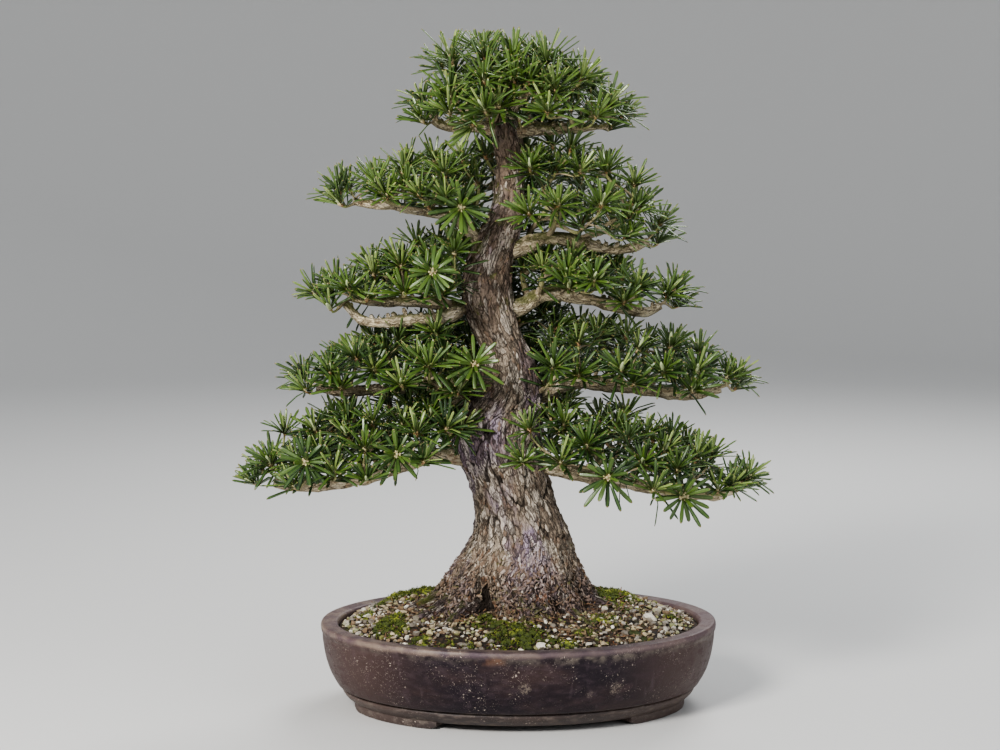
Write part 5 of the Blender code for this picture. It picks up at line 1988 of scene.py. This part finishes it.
@dataclass
class Spray:
    """One spray of whorls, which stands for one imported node, with its random draw and its heap."""

    node: str
    limb: Limb | None
    root_share: float
    root: Vector
    sites: list[Site]
    heap: Heap = field(default_factory=Heap)

    @cached_property
    def draw(self) -> random.Random:
        """The spray's own random draw."""
        return random.Random(self.node)


@dataclass(frozen=True)
class Room:
    """The room that needles have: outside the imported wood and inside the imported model's box."""

    wood: BVHTree
    low: Vector
    high: Vector
    wood_clear: float = 0.0016
    slack: float = 0.0046

    def inside(self, root: Vector, way: Vector, length: float) -> float:
        """Length at which a needle still ends within the box.

        Args:
            root: Foot of the needle.
            way: Its direction.
            length: Its full length.

        Returns:
            The length.
        """
        for axis in range(3):
            if way[axis] > 0.05:
                length = min(length, (self.high[axis] - self.slack - root[axis]) / way[axis])
            elif way[axis] < -0.05:
                length = min(length, (self.low[axis] + self.slack - root[axis]) / way[axis])
        return length

    def hits(self, place: Vector) -> bool:
        """Whether a place is in the wood or just on it."""
        near, normal, _, away = self.wood.find_nearest(place, 0.03)
        return near is not None and (away < self.wood_clear or (place - near).dot(normal) < 0)

    def keeps_off(self, place: Vector) -> bool:
        """Whether a whorl would sit in the wood or hide the trunk, which stays in view at the front.

        Args:
            place: Middle of the whorl.

        Returns:
            Whether it has to go.
        """
        if self.wood.find_nearest(place, 0.009)[0] is not None:
            return True
        if place.z < 0.322 and place.y < 0.0 and -0.100 < place.x < 0.0:
            return True
        line = np.interp(place.z, (0.2, 0.32, 0.42, 0.50, 0.60, 0.70),
                         (0.0, -0.012, -0.018, -0.026, -0.010, -0.006))
        return place.y < 0.0 and abs(place.x - line) < 0.048 and place.z < 0.66


@dataclass
class Foliage:
    """Every spray of needles: twigs, buds, and whorls of needles."""

    room: Room
    sprays: list[Spray] = field(default_factory=list)
    # Places of the whorls so far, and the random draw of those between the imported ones
    taken: list[Vector] = field(default_factory=list)
    draw: random.Random = field(default_factory=lambda: random.Random("whorls between"))
    low_rise: float = math.radians(10)
    high_rise: float = math.radians(60)
    site_jitter: float = 0.007
    tip_jitter: float = 0.004
    axis_jitter: float = 0.25
    tip_shoots: tuple[Pair, ...] = ((0.8, -0.15), (-0.8, 0.35))
    inner_root: float = 0.24
    outer_root: float = 0.50
    root_setback: float = 0.12
    crown_top: tuple[Point, ...] = metres((-8, 0, 749), (14, 4, 742), (-36, -8, 738), (-10, -36, 734),
                                          (-14, 34, 732))
    # Foot of the crown's top spray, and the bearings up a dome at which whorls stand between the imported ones
    top_root: Point = (-0.008, 0.0, 0.712)
    fill_rises: tuple[int, ...] = (12, 34, 56, 78, 102, 124, 146, 168)
    fill_step: float = 0.014
    top_tries: int = 260
    whorl_spacing: float = 0.0290
    inner_spacing: float = 0.0310
    hero_spacing: float = 0.0170
    hero_width: float = 1.34
    rising: float = 1.15
    # Rings of a whorl as (lean, spread in degrees, share of length), on stars and on all others
    star_rings: tuple[Point, ...] = ((84, 10, 1.0), (54, 10, 0.95), (24, 9, 0.76))
    rings: tuple[Point, ...] = ((62, 15, 1.0), (38, 12, 1.0), (14, 8, 0.86))
    # Turned shapes as (height, radius): a pale upright sprout, a bud and a bud scale
    sprout: tuple[Pair, ...] = metres((-1, 1.3), (3, 2.3), (9.5, 2.4), (14.5, 1.5), (17, 0.4))
    bud: tuple[Pair, ...] = metres((-3.4, 1.3), (-1.2, 2.2), (1, 2.6), (3, 2.1), (4.8, 1.1), (5.8, 0.3))
    scale: tuple[Pair, ...] = metres((-1, 0.7), (1.4, 1.4), (3.4, 1.2), (4.6, 0.4))
    sprouting: float = 0.42
    crown_growth: float = 0.28
    crown_fill: float = 0.80
    twig_radius: float = 0.00125
    twig_sides: int = 6
    twig_steps: int = 6
    shape: NeedleShape = NeedleShape()

    def pad_site(self, limb: Limb, share: float, rise: float, side: int, draw: random.Random) -> Site:
        """A shoot's tip on the dome over a limb.

        Args:
            limb: The limb.
            share: Share of its length.
            rise: Angle up the dome.
            side: 1 or -1 for the side of the limb.
            draw: Random draw of the limb.

        Returns:
            The whorl's site.
        """
        level = limb.level(share)
        out = UP.cross(level) * side
        place = limb.path.at(share) + out * limb.pad_depth(share) * math.cos(rise)
        place += UP * (limb.crown_rise(share) * math.sin(rise) + 0.004) + jitter(draw, self.site_jitter)
        axis = out * math.cos(rise) + UP * (math.sin(rise) + 0.30) + level * (0.2 + 0.5 * share)
        return Site(place, (axis + jitter(draw, self.axis_jitter)).normalized(), Age.FULL)

    def tip_site(self, limb: Limb, side: float, lift: float, draw: random.Random) -> Site:
        """One of the shoots at a limb's end.

        Args:
            limb: The limb.
            side: How far it stands aside.
            lift: How far it is lifted.
            draw: Random draw of the limb.

        Returns:
            The whorl's site.
        """
        level = limb.level(1.0)
        out = UP.cross(level) * side
        place = limb.path.at(1.0) + level * (0.014 - 0.010 * lift) + out * limb.pad_depth(0.9) * 0.55
        place += UP * (0.004 + limb.crown_rise(0.9) * lift) + jitter(draw, self.tip_jitter)
        return Site(place, (level + out * 0.5 + UP * (0.25 + 0.8 * lift)).normalized(), Age.FULL)

    def limb_sprays(self, limb: Limb) -> list[Spray]:
        """The sprays of one limb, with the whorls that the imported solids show.

        Args:
            limb: The limb.

        Returns:
            Its sprays.
        """
        draw = random.Random(limb.name)
        level = limb.level(0.5)
        found: list[tuple[str, float, list[Site]]] = []
        gathered = []
        for side in (1, -1):
            out = UP.cross(level) * side
            if abs(level.x) > abs(level.y):
                side_name = "front" if out.y < 0 else "rear"
            else:
                side_name = "left" if out.x < 0 else "right"
            low = [self.pad_site(limb, share, self.low_rise, side, draw) for share in limb.stations]
            high = [self.pad_site(limb, share + 0.04, self.high_rise, side, draw)
                    for share in limb.tops or limb.stations[:-1]]
            shoots = limb.front_shoots if side_name == "front" else ()
            ages = [Age.HERO if number in limb.stars else Age.FULL for number in range(len(shoots))]
            extra = [Site(Vector(place), Vector((0.0, -1.0, 0.2)).normalized(), age)
                     for place, age in zip(shoots, ages)]
            if len(extra) > 1:
                low[0] = extra.pop()
            if len(limb.stations) == 1:
                gathered += low
            elif len(limb.stations) == 3:
                inner = [low[0], high[0]]
                outer = [low[1], low[2], high[1]]
                for site in extra:
                    to_inner = (site.place - limb.path.at(self.inner_root)).length
                    to_outer = (site.place - limb.path.at(self.outer_root + self.root_setback)).length
                    (outer if to_inner > to_outer else inner).append(site)
                found.append((f"{side_name}_inner", self.inner_root, inner))
                found.append((f"{side_name}_outer", self.outer_root, outer))
            else:
                found.append((side_name, limb.stations[0] - self.root_setback, low + high + extra))
        found.append(("tip", 0.93, gathered + [self.tip_site(limb, *shoot, draw)
                                               for shoot in self.tip_shoots]))
        for _, _, sites in found:
            for site in sites:
                if site.age is Age.FULL:
                    site.axis = (site.axis + UP * self.rising).normalized()
        return [Spray(f"needles_{limb.name}_{name}", limb, share, limb.path.at(share), sites)
                for name, share, sites in found]

    def plan(self) -> None:
        """Find all whorls of every spray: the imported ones, those that stand out, and those between."""
        domes = [limb for limb in LIMBS if limb.crown]
        self.sprays += [spray for limb in domes for spray in self.limb_sprays(limb)]
        top = Vector(self.top_root)
        top_sites = [Site(Vector(p), (Vector(p) - top + UP * 0.02).normalized(), Age.FULL)
                     for p in self.crown_top]
        self.sprays.append(Spray("needles_crown_top", None, 1.0, top, top_sites))
        self.taken += [site.place for spray in self.sprays for site in spray.sites]
        for limb, place in [(limb, Vector(point)) for limb in domes for point in limb.whorls]:
            if self.free(place, self.hero_spacing):
                foot = limb.path.at(limb.path.nearest_share(place))
                axis = (place - foot).normalized() * 0.7 + Vector((0, -0.20, 0.95)) + jitter(self.draw, 0.25)
                self.give(limb, Site(place, axis.normalized(), Age.FULL))
        for limb in domes:
            self.fill(limb)
        self.fill_top()

    def free(self, place: Vector, spacing: float) -> bool:
        """Whether a place is far enough from the whorls so far."""
        return min((place - other).length for other in self.taken) >= spacing

    def give(self, limb: Limb | None, site: Site) -> None:
        """Give a whorl to the nearest spray of its limb.

        Args:
            limb: The limb, or none for the top of the crown.
            site: The whorl's site.
        """
        own = [spray for spray in self.sprays if spray.limb is limb]
        near = min(own, key=lambda spray: min((s.place - site.place).length for s in spray.sites[:6]))
        near.sites.append(site)
        self.taken.append(site.place)

    def fill(self, limb: Limb) -> None:
        """Fill one limb's crown with whorls, on its dome and inside it.

        Args:
            limb: The limb.
        """
        steps = max(4, round(limb.path.lengths[-1] / self.fill_step))
        squat = self.crown_fill if limb.path.points[-1].z > 0.66 else 1.0
        for scale, spacing, age in ((1.0, self.whorl_spacing, Age.FULL),
                                    (0.56, self.inner_spacing, Age.INNER)):
            for share in (0.14 + 0.86 * i / steps for i in range(steps + 1)):
                level = limb.level(share)
                out = UP.cross(level)
                for rise in map(math.radians, self.fill_rises):
                    lift = limb.crown_rise(share) * math.sin(rise) * scale * squat
                    place = limb.path.at(share) + out * limb.pad_depth(share) * math.cos(rise) * scale
                    place += UP * (lift + 0.006) + jitter(self.draw, 0.005)
                    axis = out * math.cos(rise) + UP * (math.sin(rise) + 0.30)
                    axis += level * (0.1 + 0.6 * share ** 2)
                    axis = (axis.normalized() + UP * self.rising + jitter(self.draw, 0.30)).normalized()
                    if self.free(place, spacing) and not self.room.keeps_off(place):
                        self.give(limb, Site(place, axis, age))

    def fill_top(self) -> None:
        """Fill the very top of the crown."""
        for _ in range(self.top_tries):
            place = Vector((self.draw.uniform(-0.055, 0.045), self.draw.uniform(-0.055, 0.055), 0.0))
            away = math.hypot(place.x + 0.006, place.y)
            place.z = 0.744 - 0.034 * (away / 0.05) ** 2 - self.draw.uniform(0.0, 0.014)
            if self.free(place, self.whorl_spacing):
                axis = (place - Vector((-0.006, 0.0, 0.690)) + jitter(self.draw, 0.012)).normalized()
                self.give(None, Site(place, axis, Age.YOUNG))

    def grow(self, spray: Spray) -> list[Twig]:
        """Grow the twigs of one spray: each whorl's stem leaves the best point grown so far.

        Args:
            spray: The spray.

        Returns:
            Its twigs.
        """
        anchors: list[tuple[Vector, Vector, Twig | None, int]] = [(spray.root, UP, None, 0)]
        if spray.limb:
            shares = (spray.root_share + 0.03 * i for i in range(-5, 8))
            anchors = [(spray.limb.path.at(share), spray.limb.path.ahead(share), None, 0)
                       for share in shares if 0.08 < share <= 0.985]
        twigs: list[Twig] = []
        order = sorted(spray.sites, key=lambda site: -(site.place - spray.root).length)
        leaders = max(1, len(order) // 5)
        order[leaders:] = sorted(order[leaders:], key=lambda site: (site.place - spray.root).length)
        for site in order:
            best = None
            for anchor in anchors:
                span = site.place - anchor[0]
                length = span.length
                if length < 0.011:
                    continue
                ahead, upright = span.dot(anchor[1]) / length, span.dot(site.axis) / length
                cost = length * (1.55 - 0.30 * ahead - 0.25 * upright)
                cost += 0.010 if anchor[2] is None else 0.0
                if best is None or cost < best[0]:
                    best = (cost, anchor)
            if best is None:
                continue
            place, way, parent, index = best[1]
            span = site.place - place
            a = place + (way * 0.6 + span.normalized()).normalized() * span.length * 0.36
            b = site.place - site.axis * span.length * 0.36
            path = []
            for t in (i / self.twig_steps for i in range(self.twig_steps + 1)):
                path.append(place * (1 - t) ** 3 + a * 3 * t * (1 - t) ** 2 + b * 3 * t * t * (1 - t)
                            + site.place * t ** 3)
            twig = Twig(path, parent, index, [1] * len(path), site)
            twigs.append(twig)
            while parent is not None:
                for i in range(index + 1):
                    parent.load[i] += 1
                parent, index = parent.parent, parent.index
            anchors += [(path[i], (path[i + 1] - path[i]).normalized(), twig, i)
                        for i in range(2, len(path) - 1)]
        return twigs

    def whorl(self, hub: Vector, axis: Vector, age: Age, hem: float, draw: random.Random) -> list[Needle]:
        """Set the needles of one whorl.

        Args:
            hub: Middle of the whorl.
            axis: Direction of the shoot.
            age: How many needles it has, and their tone.
            hem: Height that few needles hang below.
            draw: Random draw of the spray.

        Returns:
            The needles.
        """
        star = age is Age.HERO
        side = axis.orthogonal().normalized()
        spin = draw.uniform(0, math.tau)
        fresh = draw.random() < (0.25 if star else 0.60)
        sunny = 0.26 * smooth(hub.z, 0.34, 0.66) - 0.06 + draw.uniform(-0.12, 0.16)
        size = draw.uniform(0.92, 1.08)
        if hub.y < -0.03:
            size += self.crown_growth * smooth(hub.z, 0.67, 0.69)
        made = []
        for ring, (lean, spread, reach) in enumerate(self.star_rings if star else self.rings):
            for i in range(age.value[ring]):
                turn = spin + math.tau * (i + 0.5 * ring) / age.value[ring] + draw.uniform(-0.18, 0.18)
                tilt = math.radians(lean + draw.uniform(-spread, spread))
                out = Matrix.Rotation(turn, 3, axis) @ side
                way = (axis * math.cos(tilt) + out * math.sin(tilt)).normalized()
                top = (axis - way * axis.dot(way)).normalized()
                top = Matrix.Rotation(draw.uniform(-0.35, 0.35), 3, way) @ top
                root = hub + out * 0.0012 + axis * (0.0012 * ring + draw.uniform(-0.0022, 0.0012))
                length = self.shape.length * reach * size * draw.uniform(0.76, 1.10)
                shade = age.value[3] + draw.uniform(-0.32, 0.34) + 0.14 * ring + sunny
                if ring == 2 and fresh:
                    shade = draw.uniform(1.1, 2.0)
                length = self.room.inside(root, way, length)
                tip = root + way * length
                if tip.z < hem and draw.random() < 0.94:
                    continue
                if length < self.shape.length * 0.5 or any(map(self.room.hits, (root.lerp(tip, 0.45), tip))):
                    continue
                width = self.shape.width * draw.uniform(0.84, 1.10) * (0.85 if ring == 2 else 1.0)
                width *= self.hero_width if star else 1.0
                curl = self.shape.curl * draw.uniform(-0.4, 2.6)
                made.append(Needle(root, way, top, length, width, curl, min(max(shade, 0.0), 2.0)))
        return made

    def hem(self, spray: Spray, site: Site) -> float:
        """Height that few needles of a whorl hang below.

        Args:
            spray: The spray.
            site: The whorl's site.

        Returns:
            The height.
        """
        if site.age is Age.HERO:
            return site.place.z - 0.040
        if spray.limb is None:
            return site.place.z - 0.030
        path = spray.limb.path
        return path.at(path.nearest_share(site.place)).z + 0.002 + 0.10 * max(0.0, -site.place.y)

    def add_bud(self, spray: Spray, hub: Vector, axis: Vector, size: float, scales: int) -> None:
        """Add the bud in the middle of a whorl, with a ring of papery scales where it has them.

        Args:
            spray: The spray.
            hub: Middle of the whorl.
            axis: Direction of the shoot.
            size: Size of the bud.
            scales: Number of scales.
        """
        draw = spray.draw
        self.add_stem(spray, hub, axis, size, self.bud, 7)
        side = axis.orthogonal().normalized()
        for i in range(scales):
            out = Matrix.Rotation(math.tau * i / scales + draw.uniform(-0.3, 0.3), 3, axis) @ side
            lean = (axis + out * draw.uniform(0.35, 0.70)).normalized()
            foot = hub + out * 0.0016 * size
            self.add_stem(spray, foot, lean, size * draw.uniform(0.8, 1.1), self.scale, 5)

    def add_stem(self, spray: Spray, foot: Vector, way: Vector, size: float, profile: tuple[Pair, ...],
                 sides: int, sprout: float = 0.0) -> None:
        """Add one turned shape along a direction.

        Args:
            spray: The spray.
            foot: Foot of the shape.
            way: Its direction.
            size: Its size.
            profile: Rows of (height, radius).
            sides: Number of points round it.
            sprout: 1 on a pale sprout.
        """
        path = [foot + way * height * size for height, _ in profile]
        points, faces, _ = tube(path, [radius * size for _, radius in profile], sides)
        along = np.repeat(np.linspace(0.0, 1.0, len(profile)), sides)
        spray.heap.add(points, faces, mark_rows(along, spray.draw.random(), sprout), 2)

    def build_spray(self, spray: Spray) -> bpy.types.Object:
        """Build one spray and let it stand for its node.

        Args:
            spray: The spray.

        Returns:
            The spray's piece.
        """
        draw = spray.draw
        needles: dict[Cut, list[Needle]] = {cut: [] for cut in Cut}
        for twig in self.grow(spray):
            radii = [self.twig_radius * load ** 0.42 * draw.uniform(0.85, 1.18) for load in twig.load]
            radii[0] *= 1.25
            points, faces, _ = tube(twig.path, radii, self.twig_sides)
            along = np.repeat(np.linspace(0.15, 1.0, len(twig.path)), self.twig_sides)
            spray.heap.add(points, faces, mark_rows(along, draw.random(), 0.0), 1)
            hub = twig.path[-1]
            axis = (hub - twig.path[-2]).normalized()
            age = twig.site.age
            star = age is Age.HERO
            hem = self.hem(spray, twig.site)
            cut = {Age.INNER: Cut.PLAIN, Age.HERO: Cut.STAR}.get(age, Cut.FINE)
            needles[cut] += self.whorl(hub, axis, age, hem, draw)
            size = draw.uniform(0.80, 1.15) * (1.3 if star else 1.0)
            self.add_bud(spray, hub, axis, size, 7 if star else 0)
            if age in (Age.FULL, Age.YOUNG) and draw.random() < self.sprouting:
                lean = (axis + jitter(draw, 0.15)).normalized()
                self.add_stem(spray, hub, lean, draw.uniform(0.75, 1.15), self.sprout, 6, 1.0)
            reach = sum((b - a).length for a, b in zip(twig.path, twig.path[1:]))
            if reach > 0.024 and age is not Age.INNER:
                at = 4 if reach < 0.040 else 3
                way = (twig.path[at + 1] - twig.path[at]).normalized()
                needles[Cut.PLAIN] += self.whorl(twig.path[at], way, Age.OLD, hem, draw)
        for cut, rows in needles.items():
            if rows:
                self.shape.add(spray.heap, rows, cut)
        finishes = [NeedleFinish(), TwigFinish(), BudFinish()]
        return spray.heap.make(spray.node.replace("needles_", "spray_"), finishes, Slot.NEEDLE, spray.node)

    def build(self) -> list[bpy.types.Object]:
        """Build every spray."""
        self.plan()
        return [self.build_spray(spray) for spray in self.sprays]


# Studio


@dataclass(frozen=True)
class Studio:
    """The floor, the lights and the camera at the photograph's viewing angle."""

    azimuth: float = math.radians(-3.0)
    distance: float = 2.5
    height: float = 0.661
    pitch: float = math.radians(6.33)
    focal_px: float = 2187.0
    image_width_px: float = 1000.0
    aside_px: float = 19.0
    sensor: float = 36.0
    exposure: float = 0.26
    floor_flat: float = 3.4
    floor_sweep: float = 2.2
    floor_sides: int = 96
    # Lights as (name, place, aim, size, watts, colour)
    lights: tuple[tuple[str, Point, Point, float, float, Colour], ...] = (
        ("key", (-1.35, -2.0, 1.75), (0.0, 0.0, 0.40), 0.8, 84.0, (1.0, 0.97, 0.93)),
        ("fill", (1.9, -1.7, 1.1), (0.0, 0.0, 0.35), 1.5, 14.0, (0.94, 0.97, 1.0)),
        ("back", (0.9, 1.7, 2.1), (0.0, 0.0, 0.45), 1.2, 34.0, (1.0, 1.0, 1.0)))
    sky: tuple[float, ...] = (0.92, 0.95, 1.0, 1.0)
    sky_strength: float = 0.36

    def place(self, thing: bpy.types.ID, name: str, spot: Point) -> bpy.types.Object:
        """Put a mesh, a light or a camera into the scene.

        Args:
            thing: Data of the object.
            name: Its name.
            spot: Its place.

        Returns:
            The object.
        """
        made = bpy.data.objects.new(name, thing)
        made.location = spot
        bpy.context.scene.collection.objects.link(made)
        return made

    def set_view(self) -> None:
        """Colour management of the picture."""
        view = bpy.context.scene.view_settings
        view.view_transform = "AgX"
        view.look = "AgX - Medium High Contrast"
        view.exposure = self.exposure

    def build_floor(self) -> None:
        """A pale round floor that sweeps up at its rim."""
        rows = [(self.floor_flat, 0.0)]
        for lean in np.linspace(0.0, math.pi / 2, 16)[1:]:
            out = self.floor_sweep * math.sin(lean)
            rows.append((self.floor_flat + out, self.floor_sweep * (1 - math.cos(lean))))
        points = [(radius * math.cos(turn), radius * math.sin(turn), height)
                  for radius, height in rows for turn in turns(self.floor_sides)]
        mesh = bpy.data.meshes.new("studio_floor")
        mesh.from_pydata(points, [], tube_faces(len(rows), self.floor_sides)[:-1])
        mesh.shade_smooth()
        mesh.materials.append(FloorFinish().made())
        self.place(mesh, "studio_floor", (0.0, 0.0, 0.0))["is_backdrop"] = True

    def build_lights(self) -> None:
        """Soft light from the upper left, a weaker one from the right, one from behind, and a pale world."""
        for name, spot, aim, size, power, colour in self.lights:
            light = bpy.data.lights.new(name, "AREA")
            light.size = size
            light.energy = power
            light.color = colour
            made = self.place(light, name, spot)
            made.rotation_euler = (Vector(aim) - Vector(spot)).to_track_quat("-Z", "Y").to_euler()
        world = bpy.data.worlds.new("studio_world")
        world.use_nodes = True
        background = world.node_tree.nodes["Background"]
        background.inputs["Color"].default_value = self.sky
        background.inputs["Strength"].default_value = self.sky_strength
        bpy.context.scene.world = world

    def build_camera(self, shift: Vector) -> None:
        """Place the camera round the pot's centre.

        Args:
            shift: Place of the pot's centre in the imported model.
        """
        lens = bpy.data.cameras.new("camera")
        lens.sensor_width = self.sensor
        lens.lens = self.focal_px / self.image_width_px * self.sensor
        spot = Vector((math.sin(self.azimuth), -math.cos(self.azimuth), 0.0)) * self.distance
        camera = self.place(lens, "camera", spot + UP * self.height + shift)
        turn = self.azimuth + math.atan(self.aside_px / self.focal_px)
        camera.rotation_euler = (math.pi / 2 - self.pitch, 0.0, turn)
        bpy.context.scene.camera = camera


def count_triangles(piece: bpy.types.Object) -> int:
    """Number of triangles in a piece."""
    return sum(len(face.vertices) - 2 for face in piece.data.polygons)


def main() -> None:
    """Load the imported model, build every piece round it and note the sizes."""
    logging.basicConfig(level=logging.INFO, format="%(message)s")
    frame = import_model()
    noise.seed_set(NOISE_SEED)
    packed = [list(corner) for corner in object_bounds()]
    low, high = (Vector(corner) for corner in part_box("pot"))
    shift = Vector(((low.x + high.x) / 2, (low.y + high.y) / 2, 0.0))
    wood = frame["nodes"]["trunk"].data
    tree = BVHTree.FromPolygons([v.co - shift for v in wood.vertices],
                                [tuple(f.vertices) for f in wood.polygons])
    room = Room(tree, Vector(packed[0]) - shift, Vector(packed[1]) - shift)
    Heap.shift = shift
    Effects()
    trunk = Trunk()
    soil = SoilBed(trunk)
    pieces = [Pot().build(), soil.build_earth(), trunk.build(soil), Limbs().build(), soil.build_moss(),
              soil.build_litter(), *soil.build_gravel(), *Foliage(room).build()]
    for name in ("drain_screen_left", "drain_screen_right"):
        frame["nodes"][name].data.materials.clear()
        frame["nodes"][name].data.materials.append(ScreenFinish().made())
    for piece in pieces:
        LOG.info("%s: %d triangles", piece.name, count_triangles(piece))
    LOG.info("all pieces: %d triangles", sum(count_triangles(piece) for piece in pieces))
    studio = Studio()
    studio.set_view()
    studio.build_floor()
    studio.build_lights()
    studio.build_camera(shift)


if __name__ == "__main__":
    main()
